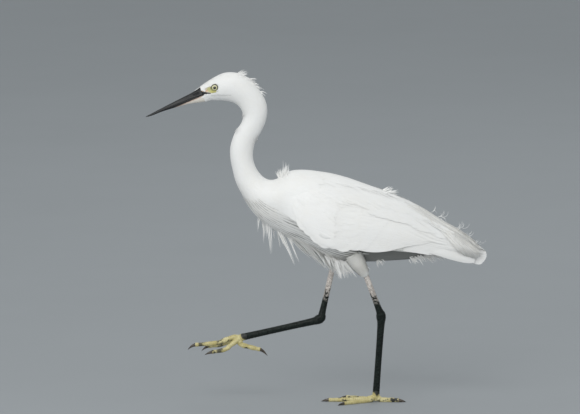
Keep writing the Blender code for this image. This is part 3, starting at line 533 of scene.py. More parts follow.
# %% Vanes
rng = np.random.default_rng(11)
PLAIN = np.array([(-1, 0, 0), (0, 1, 0), (1, 0, 0), (0, 1, 1)], float)
QUILLED = np.array([(-1, 0, 0), (-0.5, 0.75, 0), (-0.06, 1, 0), (0, 1, -1.0), (0.06, 1, 0), (0.5, 0.75, 0),
                    (1, 0, 0), (0.45, 0.75, 1), (-0.45, 0.75, 1)], float)
LANCE = np.array([(-1, 0, 0), (-0.6, 0.55, 0), (0, 1, 0), (0.6, 0.55, 0), (1, 0, 0), (0, 1, 1)], float)
PATCH = 0.003
SOFT_THICK, QUILL_THICK, TAIL_THICK, STRAND_THICK = 0.1, 0.12, 0.15, 0.25
TRUNK_MAP_LOW, TRUNK_MAP_SIZE = (0.015, 0.013), (0.97, 0.634)
VANE_MAPS, VANE_VALUES = ("Vane", "OFBake"), ("tint", "cream", "dusk")


def vanes(placed, half, thick, place, camber=0.12, section=PLAIN, cream=0.0, dusk=0.0, roll=0.0, silk=0.8):
    """Point = centre + across * half width * a + normal * (camber * half width * b - thickness * c), where a,
    b and c are a section's columns. Placed is (centres, across, normals, lie), each (feathers, stations, 3).
    Lie is the normal of the smooth coat round it, and silk the share of it in the shading, as close feathers
    catch the light together. The under side has it turned round. Place is where each root lies on the
    unwrapped skin: the bake map has a small patch there for every feather."""
    centres, across, normals, lie = placed
    count, stations, _ = centres.shape
    sides = len(section)
    turn = np.broadcast_to(np.asarray(roll, float).reshape(-1, 1, 1), (count, 1, 1))
    across, normals = (across * np.cos(turn) + normals * np.sin(turn),
                       normals * np.cos(turn) - across * np.sin(turn))
    half = np.broadcast_to(half, (count, stations))[..., None, None]
    thick = np.broadcast_to(thick, (count, stations))[..., None, None]
    a, b, c = (section[:, i].reshape(1, 1, -1, 1) for i in range(3))
    points = (centres[:, :, None] + across[:, :, None] * half * a
              + normals[:, :, None] * (camber * half * b - thick * c))
    shade = unit(lie * silk + normals * (1 - silk))[:, :, None] + across[:, :, None] * a * (1 - silk)
    shade = unit(np.broadcast_to(shade, points.shape)).reshape(-1, 3)
    n, i, j = np.meshgrid(np.arange(count), np.arange(stations - 1), np.arange(sides), indexing="ij")
    k = (j + 1) % sides
    start, after = (n * stations + i) * sides, (n * stations + i + 1) * sides
    quads = np.stack([start + j, after + j, after + k, start + k], -1).reshape(-1, 4)
    below = (section[:, 2] > 0) | (np.roll(section[:, 2], -1) > 0)
    shade = shade[quads] * np.where(below, -1.0, 1.0)[j.ravel()][:, None, None]
    first = np.arange(count)[:, None] * stations * sides + np.arange(sides)[None, :]
    caps = np.concatenate([first, first[:, ::-1] + (stations - 1) * sides])
    full = points.shape[:3]
    u = np.broadcast_to((0.5 + section[:, 0] / 2).reshape(1, 1, -1), full)
    v = np.broadcast_to(np.linspace(0, 1, stations).reshape(1, -1, 1), full)
    bake_map = place[:, None, None, :] + PATCH * (np.stack([u, v], -1) - 0.5)

    def spread(value):
        value = np.asarray(value, float)
        return np.broadcast_to(value.reshape(value.shape + (1,) * (3 - value.ndim)), full).ravel()

    return {
        "points": points.reshape(-1, 3), "shade": shade.reshape(-1, 3), "quads": quads, "caps": caps,
        "cap shade": np.zeros((caps.size, 3)),
        "Vane": np.stack([u, v], -1).reshape(-1, 2), "OFBake": bake_map.reshape(-1, 2),
        "tint": spread(rng.random(count)), "cream": spread(cream), "dusk": spread(dusk), "count": count,
    }


def coat_piece(name, bundles, finish):
    """Several bundles of vanes as one mesh. Caps have as many corners as their section."""
    starts = np.cumsum([0] + [len(b["points"]) for b in bundles])
    quads = [b["quads"] + start for b, start in zip(bundles, starts)]
    caps = [b["caps"] + start for b, start in zip(bundles, starts)]
    shading = np.concatenate([b[key] for key in ("shade", "cap shade") for b in bundles])
    keys = ("points", *VANE_MAPS, *VANE_VALUES)
    points, *kept = (np.concatenate([b[key] for b in bundles]) for key in keys)
    print(name, "has", sum(b["count"] for b in bundles), "feathers")
    return mesh_piece(name, points, quads + caps, finish, (), dict(zip(VANE_MAPS, kept[:2])),
                      dict(zip(VANE_VALUES, kept[2:])), shading)


def on_surface(surface, ring, angle, height, mirror=False, drop=0.0):
    """Centre lines that follow a surface at a height, or hang below it by a drop, and with them what vanes
    asks for."""
    centres, lie = surface(ring, angle), outward(surface, ring, angle)
    height, drop = (np.broadcast_to(value, ring.shape)[..., None] for value in (height, drop))
    centres = centres + lie * height - UP * drop
    if mirror:
        centres, lie = centres * FLIP, lie * FLIP
    return centres, *ribbon(centres, lie), lie


def ring_at(x, first):
    """The ring of the trunk whose middle lies at x, looked for from the first one on."""
    return np.interp(x, BODY_RINGS[first:, [0, 2]].mean(1), np.arange(first, len(BODY_RINGS)))


def grid_of(first, second):
    """All pairs of two counts, as two flat arrays."""
    return (axis.ravel() for axis in np.meshgrid(np.arange(first), np.arange(second), indexing="ij"))


def body_place(ring, angle):
    """Where a root lies on the unwrapped trunk, whose rows are at skin_rings: u by row, v by angle."""
    row = np.interp(ring, skin_rings, np.linspace(0, 1, len(skin_rings)))
    place = np.stack([row, np.mod(angle, WHOLE_TURN) / WHOLE_TURN], -1)
    return np.array(TRUNK_MAP_LOW) + np.array(TRUNK_MAP_SIZE) * place


def outline(stations, widest, root, tip):
    """Half width along a vane: sin(pi * t^p)^0.6, p so that the hump is at the widest place, no less than the
    root's and the tip's width at the ends."""
    t = np.linspace(0, 1, stations)
    hump = np.sin(math.pi * t ** (math.log(0.5) / math.log(widest)))
    return np.maximum(np.clip(hump, 0, 1) ** 0.6, np.where(t < widest, root, tip))


def short_feathers(surface, ring, angle, length, width, turn, height, shape, mirror=False, place=None,
                   glow=None, **more):
    """Feathers from their roots along the lie of the coat, each turned aside by an angle. Glow tells how far
    the shading leans upwards at a place."""
    t = np.linspace(0, 1, len(shape))
    along, around = speeds(surface, ring, angle)
    reach = length[:, None] * t
    rings = ring[:, None] + reach * np.cos(turn)[:, None] / along[:, None]
    angles = angle[:, None] + reach * np.sin(turn)[:, None] / around[:, None]
    *placed, lie = on_surface(surface, rings, angles, height, mirror)
    if glow is not None:
        lie = unit(lie + UP * glow(rings, angles)[..., None])
    place = body_place(ring, angle) if place is None else place
    return vanes((*placed, lie), width[:, None] / 2 * shape, SOFT_THICK, place, **more)


def scatter(surface, first, last, spacing_along, spacing_across):
    """Roots in rows round the body, each row shifted by half a step and shaken. A row has as many roots as
    its arc holds spacings, and where rings crowd together, some are left out."""
    rings, angles, ring, row = [], [], first, 0
    around = np.linspace(0, WHOLE_TURN, 97)
    middle = (around[1:] + around[:-1]) / 2
    while ring < last:
        along_speed, around_speed = speeds(surface, np.full(96, ring), middle)
        arc = np.concatenate([[0], np.cumsum(around_speed * np.diff(around))])
        count = max(int(arc[-1] / spacing_across(ring)), 3)
        steps = (np.arange(count) + 0.5 * (row % 2) + rng.uniform(-0.3, 0.3, count)) / count * arc[-1]
        angle = np.interp(np.mod(steps, arc[-1]), arc, around)
        pace = np.interp(angle, middle, along_speed) / np.median(along_speed)
        step = spacing_along(ring) / np.median(along_speed)
        keep = rng.random(count) < np.clip(pace * 1.5, 0.25, 1)
        rings.append((ring + rng.uniform(-0.4, 0.4, count) * step)[keep])
        angles.append(angle[keep])
        ring += step
        row += 1
    return np.concatenate(rings), np.concatenate(angles)


def lock(path, count, root_spread, tip_spread, width, facing=(0.0, -1.0, 0.0), reach=(0.6, 1.0), stations=10,
         wave=0.3, skyward=0.3, **more):
    """A bunch of strands along one smooth path. Each keeps its own offset, which grows from the root's spread
    to the tip's, sways by a sine, and ends somewhere on the last part of the path. Skyward is the share of
    straight up in its shading."""
    t = np.linspace(0, 1, stations)
    path = np.asarray(path, float)
    centres = spline(path, rng.uniform(*reach, (count, 1)) * t * (len(path) - 1))
    spread = np.outer(1 - t, np.ones(3) * root_spread) + np.outer(t, np.ones(3) * tip_spread)
    sway = (np.sin(t * rng.uniform(2.5, 5.5, (count, 1))) * rng.normal(0, wave, (count, 1)))[..., None]
    centres = centres + rng.normal(0, 1, (count, 1, 3)) * spread + sway * rng.normal(0, 1, (count, 1, 3))
    sideways, normals = ribbon(centres, np.array(facing) + 1e-3)
    half = width * rng.uniform(0.6, 1.2, (count, 1)) / 2 * np.clip(1.02 - t ** 1.6, 0.06, 1)
    where = body_place(ring_at(path[0][0], 12), math.pi) + rng.uniform(-0.015, 0.015, (count, 2))
    placed = (centres, sideways, normals, unit(normals * (1 - skyward) + UP * skyward))
    return vanes(placed, half, np.minimum(half, STRAND_THICK), where, camber=0.4,
                 roll=rng.normal(0, 0.35, count), silk=0.5, **more)


print("vanes: plain section", len(PLAIN), "points, quilled", len(QUILLED))

# %% [markdown]
# The face is the only place where an egret shows skin: the lores, a bare wedge from the bill to the eye, and
# the lids. A black line runs back along the mouth. The wedge is described in the side view, by the lines that
# bound it, because that is how field guides draw it. A distance is positive inside.

# %% The bare face
EYE_X, EYE_Z = -201.4, 398.4
EYE_RADIUS = 4.3
BROW_LINE = ((-219.5, 395.0), (-207.5, 399.6))
CHEEK_LINE = ((-220.0, 386.4), (-205.0, 390.4))
MOUTH_LINE = ((-219.0, 389.4), (-207.5, 390.6))
JAW_LINE = ((-204.0, 387.4), (-181.0, 388.8))
DEPTH_AT = ([0, 1, 4, 8, 16, 19, 22, 28, 33], [0.4, 0.7, 1.0, 1.3, 1.7, 2.2, 2.4, 2.0, 1.6])


def above(line, x, z):
    """Distance above a line through two points of the side view, positive upwards."""
    (x0, z0), (x1, z1) = line
    return ((z - z0) * (x1 - x0) - (x - x0) * (z1 - z0)) / math.hypot(x1 - x0, z1 - z0)


def along_line(line, x, z):
    """Distance from a stretch of line, and the share of the way along it."""
    start, end = np.array(line[0]), np.array(line[1])
    step = end - start
    share = np.clip(((x - start[0]) * step[0] + (z - start[1]) * step[1]) / (step @ step), 0, 1)
    return np.hypot(x - start[0] - share * step[0], z - start[1] - share * step[1]), share


def bareness(x, z):
    """1 on bare skin, 0 in the coat: inside the wedge in front of the eye, or within the lids."""
    wedge = np.minimum(np.minimum(-above(BROW_LINE, x, z), above(CHEEK_LINE, x, z)), -201.0 - x)
    under_eye = 2.2 - along_line(((-205.0, 393.6), (-199.8, 393.8)), x, z)[0]
    rim = EYE_RADIUS + 0.5 - np.hypot(x - EYE_X, z - EYE_Z)
    return smooth(np.maximum(np.maximum(wedge, under_eye), rim) / 0.9)


def coat_depth(ring):
    """How far the skin lies under the tips of the coat."""
    return np.interp(ring, *DEPTH_AT)


def face_relief(x, z):
    """Folds of the face in millimetres: a hollow lore, a brow over the eye, the groove of the mouth and a rim
    below it."""
    lore, _ = along_line(((-216.0, 393.2), (-208.0, 395.6)), x, z)
    brow, _ = along_line(((-210.0, 400.6), (-198.0, 404.6)), x, z)
    mouth, share = along_line(MOUTH_LINE, x, z)
    rim, _ = along_line(((-217.0, 386.4), (-204.0, 390.2)), x, z)
    socket = np.hypot(x - EYE_X, z - EYE_Z)
    relief = -0.9 * np.exp(-(lore / 2.4) ** 2) + 0.5 * np.exp(-(brow / 1.5) ** 2)
    relief += -0.75 * np.exp(-(mouth / 0.55) ** 2) * (1 - 0.5 * share) + 0.35 * np.exp(-(rim / 0.9) ** 2)
    relief += 0.4 * np.exp(-((socket - 5.4) / 0.7) ** 2)
    return relief - 3.2 * smooth((EYE_RADIUS + 0.2 - socket) / 1.4)

# %% [markdown]
# One skin runs under the whole coat, so no gap between feathers can show through to nothing. The trunk with
# the root of the tail, the wings and the thighs are closed shells of one mesh. Only the face is fine, since
# only the face is seen: its grid is dense and carries the folds.

# %% Skin
LEFT_THIGH = np.array([(-29.0, -21.0, 190.0), (-21.5, -21.0, 177.0), (-12.5, -19.5, 162.5)])
RIGHT_THIGH = np.array([(-45.0, 21.0, 191.0), (-51.0, 21.0, 177.0), (-54.5, 20.0, 165.0)])
LEFT_ANKLE, LEFT_FOOT = np.array([7.0, -10.5, 110.0]), np.array([0.0, 0.0, 4.0])
RIGHT_ANKLE, RIGHT_FOOT = np.array([-69.0, 17.5, 101.5]), np.array([-171.4, 13.0, 79.0])
THIGH_RADII = (11.5, 9.2, 4.6)


def trunk_skin(rings, sides):
    """The body sunk by the depth of the coat, except on the bare face, which keeps the outline and its
    folds."""
    ring, angle = np.meshgrid(rings, turns(sides), indexing="ij")
    points, normals = body_point(ring, angle), outward(body_point, ring, angle)
    bare = bareness(points[..., 0], points[..., 2]) * (ring < 4)
    flank = smooth(np.abs(np.sin(angle)) * 2.2 - 0.35) * smooth((4 - ring) / 1.0)
    relief = face_relief(points[..., 0], points[..., 2]) * flank
    return points + normals * (relief - coat_depth(ring) * (1 - bare))[..., None]


def tube_points(path, radii, sides, flatness):
    """Circles round a path: front * cos + across * sin * flatness, times the radius at each station."""
    path = np.asarray(path, float)
    tangents = unit(np.gradient(path, axis=0))
    across = unit(SIDE - tangents * (tangents @ SIDE)[:, None])
    front = np.cross(across, tangents)
    turn = turns(sides)
    radii = np.broadcast_to(np.asarray(radii, float).reshape(len(path), -1), (len(path), sides))
    return (path[:, None] + front[:, None] * (np.cos(turn) * radii)[..., None]
            + across[:, None] * (np.sin(turn) * radii * flatness)[..., None])


def wing_skin(mirror):
    """Under the wing's feathers: its outside sunk by a millimetre and a half, and an inside in the body,
    which parts from it towards the wing's lower edge, so that the edge is thin."""
    ring, share = np.meshgrid(np.linspace(20.3, 30.2, 40), np.linspace(0.04, 0.96, 24), indexing="ij")
    angle = across_wing(ring, share)
    outside, normals = wing_surface(ring, angle), outward(wing_surface, ring, angle)
    inside = body_point(ring, angle) - outward(body_point, ring, angle) * 3.0
    thin = smooth((share - 0.6) / 0.25)[..., None]
    inside = inside * (1 - thin) + (outside - normals * 3.2) * thin
    shell = np.concatenate([outside - normals * 1.5, inside[:, ::-1]], axis=1)
    return shell * FLIP if mirror else shell


def thigh_skin(thigh, ankle):
    """The drumstick under its feathers."""
    run = np.linspace(0, 2.0, 24)
    path = spline(np.concatenate([thigh, [thigh[-1] + unit(ankle - thigh[-1]) * 3.0]]), run)
    radii = np.interp(run, [0, 1, 2, 3], [*THIGH_RADII, 3.4]) - 1.0
    return tube_points(path, radii, 24, 0.92)


skin_rings = np.concatenate([np.linspace(*stretch) for stretch in ((0.02, 4, 170), (4.05, 12, 70),
                                                                   (12.1, 29.6, 90))])
shells = [trunk_skin(skin_rings, 160), wing_skin(False), wing_skin(True),
          thigh_skin(LEFT_THIGH, LEFT_ANKLE), thigh_skin(RIGHT_THIGH, RIGHT_ANKLE)]
skin_boxes = [(0.01, 0.01, 0.99, 0.65), (0.01, 0.67, 0.39, 0.99), (0.41, 0.67, 0.79, 0.99),
              (0.81, 0.67, 0.99, 0.82), (0.81, 0.84, 0.99, 0.99)]
skin_points, skin_quads, skin_fans, skin_map = join_grids(shells, skin_boxes)
FLESH = ("head", "neck_upper", "neck_lower", "torso", "wing_left", "wing_right", "tail", "thigh_left",
         "thigh_right")
# A mark of the face: two points of the side view, reach, fade and shrink in millimetres, and the colour.
LORE_MARKS = (
    ((-215.0, 393.4), (-204.0, 396.8), 3.4, 1.6, 0.0, (0.74, 0.69, 0.58)),
    ((-208.0, 395.6), (-203.5, 393.6), 2.2, 1.6, 0.0, (0.58, 0.57, 0.28)),
)
LINE_MARKS = (
    ((-219.0, 393.6), (-210.5, 393.9), 0.6, 0.9, 0.0, (0.68, 0.44, 0.28)),
    ((-205.5, 393.1), (-200.5, 393.3), 0.9, 0.9, 0.0, (0.60, 0.56, 0.20)),
    ((-218.0, 390.2), (-206.8, 390.6), 2.5, 0.5, 1.7, (0.012, 0.013, 0.015)),
    ((-209.5, 399.4), (-205.0, 400.4), 0.35, 0.5, 0.0, (0.10, 0.10, 0.06)),
)


def face_colours(wires, shader):
    """Downy white, then the lores, the pink behind the bill, the yellow under the eye and the black line of
    the mouth, each a mask of distances in the side view."""
    x, _, z = wires.here()

    def near(start, end, reach, fade, shrink=0.0):
        """1 close to a stretch of line in the side view, 0 past the reach, which may shrink along it."""
        (x0, z0), (x1, z1) = (np.array(p) * MM for p in (start, end))
        dx, dz = x1 - x0, z1 - z0
        long = math.hypot(dx, dz)
        px, pz = wires.minus(x, x0), wires.minus(z, z0)
        run = wires.maths("MULTIPLY_ADD", px, dx / long, wires.times(pz, dz / long))
        off = wires.minus(wires.times(pz, dx / long), wires.times(px, dz / long))
        past = wires.maths("MAXIMUM", wires.minus(run, long), wires.times(run, -1.0))
        past = wires.maths("MAXIMUM", past, 0.0)
        distance = wires.maths("SQRT", wires.maths("MULTIPLY_ADD", off, off, wires.times(past, past)))
        run = wires.maths("MAXIMUM", run, 0.0)
        distance = wires.maths("MULTIPLY_ADD", run, shrink * MM / long, distance)
        return wires.step(distance, (reach + fade) * MM, reach * MM)

    def marked(colour, marks):
        """The colour with each mark laid over those before it."""
        for *where, paint in marks:
            colour = wires.blend(near(*where), colour, paint)
        return colour

    mottle = use(wires, MOTTLE, Scale=420.0, From=0.35, To=0.7)["Mask"]
    colour = marked((0.86, 0.86, 0.84), LORE_MARKS)
    colour = wires.blend(wires.times(mottle, 0.3), colour, (0.40, 0.41, 0.28), "MULTIPLY")
    colour = marked(colour, LINE_MARKS)
    rim = near((EYE_X, EYE_Z), (EYE_X + 0.1, EYE_Z), 4.3, 0.3)
    colour = wires.blend(wires.times(rim, 0.9), colour, (0.05, 0.05, 0.03))
    scales = use(wires, SCALES, Scale=1500.0, Groove=0.25)
    rough = wires.maths("MULTIPLY_ADD", mottle, 0.15, 0.42)
    link(wires, shader, Base_Color=colour, Roughness=rough, Normal=wires.relief(scales["Height"], 0.00012))


FACE = material("bare face and down", face_colours, Specular_IOR_Level=0.4)
mesh_piece("skin", skin_points, [skin_quads, skin_fans], FACE, FLESH, {"OFBake": skin_map})

# %% [markdown]
# The finest feathers are on the head, hardly longer than velvet. They grow along the neck to soft strands and
# on the trunk to rounded vanes as long as a finger joint. So their size is one function of ring. They lie
# close, which is why a clean egret looks carved from one piece. Each root is sunk to the skin and each tip
# ends at the outline.

# %% Coat of head, neck and body
LENGTH_AT = ([0, 1.5, 4, 7, 12, 17, 19, 21, 28], [2.6, 3.4, 5.5, 8, 10, 14, 18, 22, 22])
WIDTH_AT = ([0, 1.5, 4, 7, 12, 17, 19, 21, 28], [0.8, 1.0, 1.5, 2.1, 2.8, 4.6, 7.0, 8.5, 8.5])


def feather_length(ring):
    """Millimetres from root to tip."""
    return np.interp(ring, *LENGTH_AT)


def feather_width(ring):
    """Millimetres across the widest part."""
    return np.interp(ring, *WIDTH_AT)


def contour(first, last, surface=body_point, keep=None, closeness=1.0, tip=0.12, wander=0.12, stations=4,
            shade=None, **more):
    """The even coat between two rings, in staggered rows. Height = -depth * rooted(t, 0.4) at the
    root, and a little above the surface at the tip. The jaw's crease is sunk and greyed with painted shade,
    and the shade function adds painted shade elsewhere."""
    ring, angle = scatter(surface, first, last, lambda r: feather_length(r) * 0.24 / closeness,
                          lambda r: feather_width(r) * 0.56 / closeness)
    if keep is not None:
        chosen = keep(ring, angle)
        ring, angle = ring[chosen], angle[chosen]
    count = len(ring)
    point = surface(ring, angle)
    crease = np.exp(-(along_line(JAW_LINE, point[:, 0] + 3.0, point[:, 2])[0] / 1.0) ** 2) * (ring < 5)
    length = feather_length(ring) * rng.uniform(0.85, 1.12, count)
    width = feather_width(ring) * rng.uniform(0.88, 1.12, count)
    t = np.linspace(0, 1, stations)
    rise = rng.uniform(0.5, 1.0, (count, 1)) * tip
    sunk = coat_depth(ring)[:, None] * rooted(t, 0.4) + 0.4 * crease[:, None]
    height = (rise + 0.1) * t - 0.1 - sunk
    # Painted shade: grey along the jaw's crease, and where the shade function puts it.
    dusk = 0.3 * crease + (shade(ring, angle) if shade else 0.0)
    return short_feathers(surface, ring, angle, length, width, rng.normal(0, wander, count), height,
                          outline(stations, 0.5, 0.35, 0.15), dusk=dusk, **more)


def on_coat(ring, angle):
    """True where a root isn't on the bare face."""
    point = body_point(ring, angle)
    return bareness(point[:, 0], point[:, 2]) < 0.35


BILL_RINGS = np.array([
    (-287.4, 360.7, 360.3, 359.9, 0.35, 0.0), (-280.0, 364.7, 363.2, 361.8, 1.0, 0.0),
    (-266.9, 371.6, 369.0, 366.9, 1.8, 0.0), (-253.2, 378.6, 374.6, 371.3, 2.6, -0.05),
    (-239.8, 385.2, 379.9, 375.2, 3.5, -0.13), (-228.0, 390.9, 384.6, 377.6, 4.7, -0.25),
    (-216.12, 397.9, 388.0, 379.4, 6.3, -0.356),
])
BEHIND_BILL = np.array([-208.3, 405.1, 392.0, 380.7, 9.2, -0.127])


def bill_surface(ring, angle):
    """Round the bill: z = mouth + rise * cos(angle), and the drop to the chin below it; y = -half width *
    sin(angle)."""
    x, ridge, mouth, chin, half, lean = np.moveaxis(spline([*BILL_RINGS, BEHIND_BILL], ring), -1, 0)
    z = np.cos(angle) * np.where(np.cos(angle) > 0, ridge - mouth, mouth - chin)
    return np.stack([x + lean * z, -half * np.sin(angle), mouth + z], -1)


def bill_feathers():
    """The coat reaches on to the bill: in a point on its ridge, and further below, along the chin."""
    ring, angle = scatter(bill_surface, 5.05, 6.3, lambda r: 0.7, lambda r: 0.45)
    size = from_ridge(angle)
    chosen = (size < 1.15 * (ring - 5.15)) | (size > 2.25 - 0.62 * smooth((ring - 5.15) / 0.85))
    ring, angle = ring[chosen], angle[chosen]
    count = len(ring)
    t = np.linspace(0, 1, 4)
    height = -0.35 * rooted(t, 0.3) + 0.18 + 0.08 * t * rng.random((count, 1))
    fade = smooth((5.75 - ring) / 0.6) * (np.cos(angle) < 0)
    length, width = rng.uniform(2.2, 3.4, count), rng.uniform(0.5, 0.9, count)
    return short_feathers(bill_surface, ring, angle, length, width, rng.normal(0, 0.12, count), height,
                          outline(4, 0.5, 0.3, 0.15), cream=fade * 0.5)


def belly_shade(ring, angle):
    """Painted shade: grey between the lances of the breast, and below the wing where its shade falls."""
    size = from_ridge(angle)
    breast = smooth((size - 1.9) / 0.3) * smooth((ring - 18.0) / 1.2)
    return 0.95 * breast + 0.1 * smooth((ring - 22.5) / 1.5)


def off_wing(ring, angle):
    """True where no wing covers the body."""
    size = from_ridge(angle)
    return (ring < 20.9) | (size > wing_low(ring) - 0.25)


def on_wing(ring):
    """0 on the body in front of the wings and 1 on the wings, blended over two rings."""
    return smooth((np.asarray(ring) - WING_BEGINS) / WING_BLEND)


def shoulder_surface(ring, angle):
    """From the body in front of the wings to a little over the wings."""
    wing = wing_surface(ring, from_ridge(angle))
    wing[..., 1] = (wing[..., 1] - 1.3) * np.where(np.sin(angle) < 0, -1.0, 1.0)
    share = on_wing(ring)[..., None]
    return body_point(ring, angle) * (1 - share) + wing * share


def silky(share):
    """How far a wing's shading leans upwards, at a share of the way down it, as a silky wing catches the
    light."""
    return 0.3 * smooth(share / 0.7)


def wing_glow(ring, angle):
    """The same for the coat over the wing's front edge, and nothing on the body in front of it."""
    share = (from_ridge(angle) - wing_top(ring)) / (wing_low(ring) - wing_top(ring))
    return silky(share) * on_wing(ring)


def on_shoulder(ring, angle):
    """True over the front edge of a wing, but not below its lower edge."""
    size = from_ridge(angle)
    return (size > 0.75) & (size < wing_low(np.maximum(ring, 20.7) + 0.2) - 0.1)


def ruffle(ring, middle, spread, rise):
    """A short row of feathers whose tips stand off where the neck bends."""
    count = 60
    angle = middle + rng.uniform(-spread, spread, count)
    rings = ring + rng.uniform(-0.35, 0.1, count)
    t = np.linspace(0, 1, 5)
    lift = rise * rng.uniform(0.3, 1.0, (count, 1)) * np.cos((angle - middle) / spread * 1.3)[:, None]
    length, width = rng.uniform(5.5, 8.0, count), rng.uniform(1.0, 1.9, count)
    height = -0.9 * rooted(t, 0.4) + lift * t ** 1.5
    return short_feathers(body_point, rings, angle, length, width, rng.normal(0, 0.15, count), height,
                          outline(5, 0.5, 0.4, 0.1))


coat_piece("coat_head", [contour(0.12, 5.9, keep=on_coat, tip=0.1), bill_feathers()], SOFT)
coat_piece("coat_neck", [
    contour(5.7, 18.6, tip=0.1, closeness=1.3, wander=0.1), ruffle(7.3, math.pi, 0.9, 2.2),
    ruffle(10.5, math.pi, 0.9, 1.9), ruffle(11.7, 0.0, 0.8, 1.8),
], SOFT)
coat_piece("coat_body", [
    contour(18.3, 28.6, keep=off_wing, tip=0.2, closeness=1.5, wander=0.08, stations=5, shade=belly_shade),
    contour(18.9, 21.9, surface=shoulder_surface, keep=on_shoulder, glow=wing_glow, tip=0.1, closeness=1.5,
            wander=0.06, stations=7, silk=0.93),
], SOFT)

# %% [markdown]
# The back has two coats. Rounded feathers cover the mantle and the root of each wing. The scapulars are
# longer, they overlap the wing's upper edge, and their soft ends melt into it. Both lie on the back's own
# surface.

# %% Mantle and scapulars
def mantle_keep(ring, angle):
    """True on the back, down to a little below the wing's upper edge."""
    size = from_ridge(angle)
    return size < np.maximum(wing_top(ring) + 0.16, 1.15 * smooth((ring - 22.8) / 1.2))


def scapulars(mirror):
    """Rows of long shoulder feathers, each row further down the wing than the one before."""
    rows, columns = 7, 9
    row, column = grid_of(rows, columns)
    count = len(row)
    ring = 20.15 + column * 0.45 + rng.uniform(-0.1, 0.1, count)
    angle = wing_top(ring) - 0.36 + row * 0.085 + rng.uniform(-0.02, 0.02, count)
    length = 42 + column * 1.5 + rng.uniform(-4, 4, count)
    width = np.full(count, 10.0) + rng.uniform(-1.5, 1.5, count)
    t = np.linspace(0, 1, 9)
    height = (-1.8 * rooted(t, 0.2) + 0.15 + 0.25 * t - 0.35 * smooth((t - 0.7) / 0.3)
              - 0.02 * row[:, None])
    turn = 0.08 + 0.03 * row + rng.normal(0, 0.02, count)
    return short_feathers(back_surface, ring, angle, length, width, turn, height, outline(9, 0.6, 0.4, 0.1),
                          mirror, camber=0.02, silk=0.93)


coat_piece("coat_back", [
    contour(18.9, 28.4, surface=back_surface, keep=mantle_keep, tip=0.15, wander=0.06, closeness=1.4,
            stations=5, silk=0.9),
    scapulars(False), scapulars(True),
], SOFT)

# %% [markdown]
# A folded wing shows its tiers like tiles: small lesser coverts at the wrist, then median and greater
# coverts, the broad secondaries below them, three tertials over their upper side, and the ends of the
# primaries behind. Each tier is a row of places, from its first feather to its last, for root and for tip.
# Every vane has a quill, which is a ridge of its section.

# %% Wings
def tier(count, roots, tips, width, top, mirror, stations=11, widest=0.62, tip_share=0.16, lift=0.25,
         silk=0.92):
    """One tier. Roots and tips are (ring, share) of its first and last feather. Height = top - lift *
    (1 - t), and the root is sunk. The upper feathers lie a little over the lower ones."""
    part = np.linspace(0, 1, count) + rng.uniform(-0.12, 0.12, count) / max(count, 2)
    root = np.outer(1 - part, roots[0]) + np.outer(part, roots[1])
    tip = np.outer(1 - part, tips[0]) + np.outer(part, tips[1])
    tip[:, 0] += rng.uniform(-0.04, 0.04, count)
    t = np.linspace(0, 1, stations)
    ring = root[:, :1] + (tip[:, :1] - root[:, :1]) * t
    share = root[:, 1:] + (tip[:, 1:] - root[:, 1:]) * t
    height = -1.6 * rooted(t, 0.2) + top - lift * (1 - t) + 0.15 * (1 - part[:, None])
    *placed, lie = on_surface(wing_surface, ring, across_wing(ring, share), height, mirror)
    lie = unit(lie + UP * silky(share)[..., None])
    # Each wing's box of the skin's map holds its feathers' roots, the left one's first.
    place = np.stack([0.02 + 0.36 * (root[:, 0] - 20.3) / 10 + 0.4 * mirror, 0.68 + 0.15 * root[:, 1]], -1)
    half = width / 2 * outline(stations, widest, 0.55, tip_share) * rng.uniform(0.94, 1.06, (count, 1))
    return vanes((*placed, lie), half, QUILL_THICK, place, camber=0.03, section=QUILLED, silk=silk)


def covert_rows(mirror):
    """Lesser coverts: rows of small round feathers, each row a little further back and a little larger."""
    bundles = []
    for row, ring in enumerate(np.arange(20.3, 22.9, 0.2)):
        size = 11 + 0.8 * row
        girth = speeds(wing_surface, np.array([ring]), np.array([1.3]))[1][0]
        count = int(float(wing_low(ring) - wing_top(ring)) * girth / (size * 0.4))
        shift = 0.5 * (row % 2) / count
        reach = size / 20.0
        bundles.append(tier(count, ((ring, 0.02 + shift), (ring, 0.86 + shift)),
                            ((ring + reach, 0.06 + shift), (ring + reach, 0.88 + shift)),
                            size * 0.8, 0.75 - 0.01 * row, mirror, stations=7, widest=0.58, tip_share=0.3))
    return bundles


def wing_feathers(mirror):
    """Every tier of one wing, from the innermost out. Last come the front edge and two feathers that lie
    a little loose."""
    tiers = [
        (9, ((25.6, 0.50), (25.6, 0.90)), ((31.0, 0.40), (29.2, 0.88)), 12.0, -0.15, {}),
        (18, ((24.1, 0.16), (22.9, 0.88)), ((29.2, 0.42), (25.4, 0.90)), 14.5, 0.1, {}),
        (6, ((23.9, 0.02), (23.9, 0.34)), ((29.9, 0.16), (28.6, 0.58)), 15.0, 0.3, {"tip_share": 0.1}),
        (19, ((22.9, 0.02), (22.2, 0.88)), ((25.8, 0.08), (24.2, 0.90)), 13.0, 0.4, {"tip_share": 0.3}),
        (17, ((22.3, 0.02), (21.7, 0.88)), ((24.3, 0.07), (23.3, 0.90)), 12.0, 0.6, {"tip_share": 0.3}),
    ]
    edge_and_loose = [
        (4, ((20.9, 0.80), (20.8, 0.90)), ((23.3, 0.88), (23.1, 0.94)), 9.0, 0.9, {}),
        (1, [(21.5, 0.76)] * 2, [(22.45, 0.81)] * 2, 7.0, 1.7, {"lift": 0.5, "silk": 0.6}),
        (1, [(21.2, 0.2)] * 2, [(22.6, 0.58)] * 2, 9.0, 1.6, {"lift": 0.5, "silk": 0.75}),
    ]
    return ([tier(*row, mirror, **more) for *row, more in tiers] + covert_rows(mirror)
            + [tier(*row, mirror, **more) for *row, more in edge_and_loose])


for wing_name, wing_mirror in (("left", False), ("right", True)):
    coat_piece(f"wing_feathers_{wing_name}", wing_feathers(wing_mirror), FIRM)
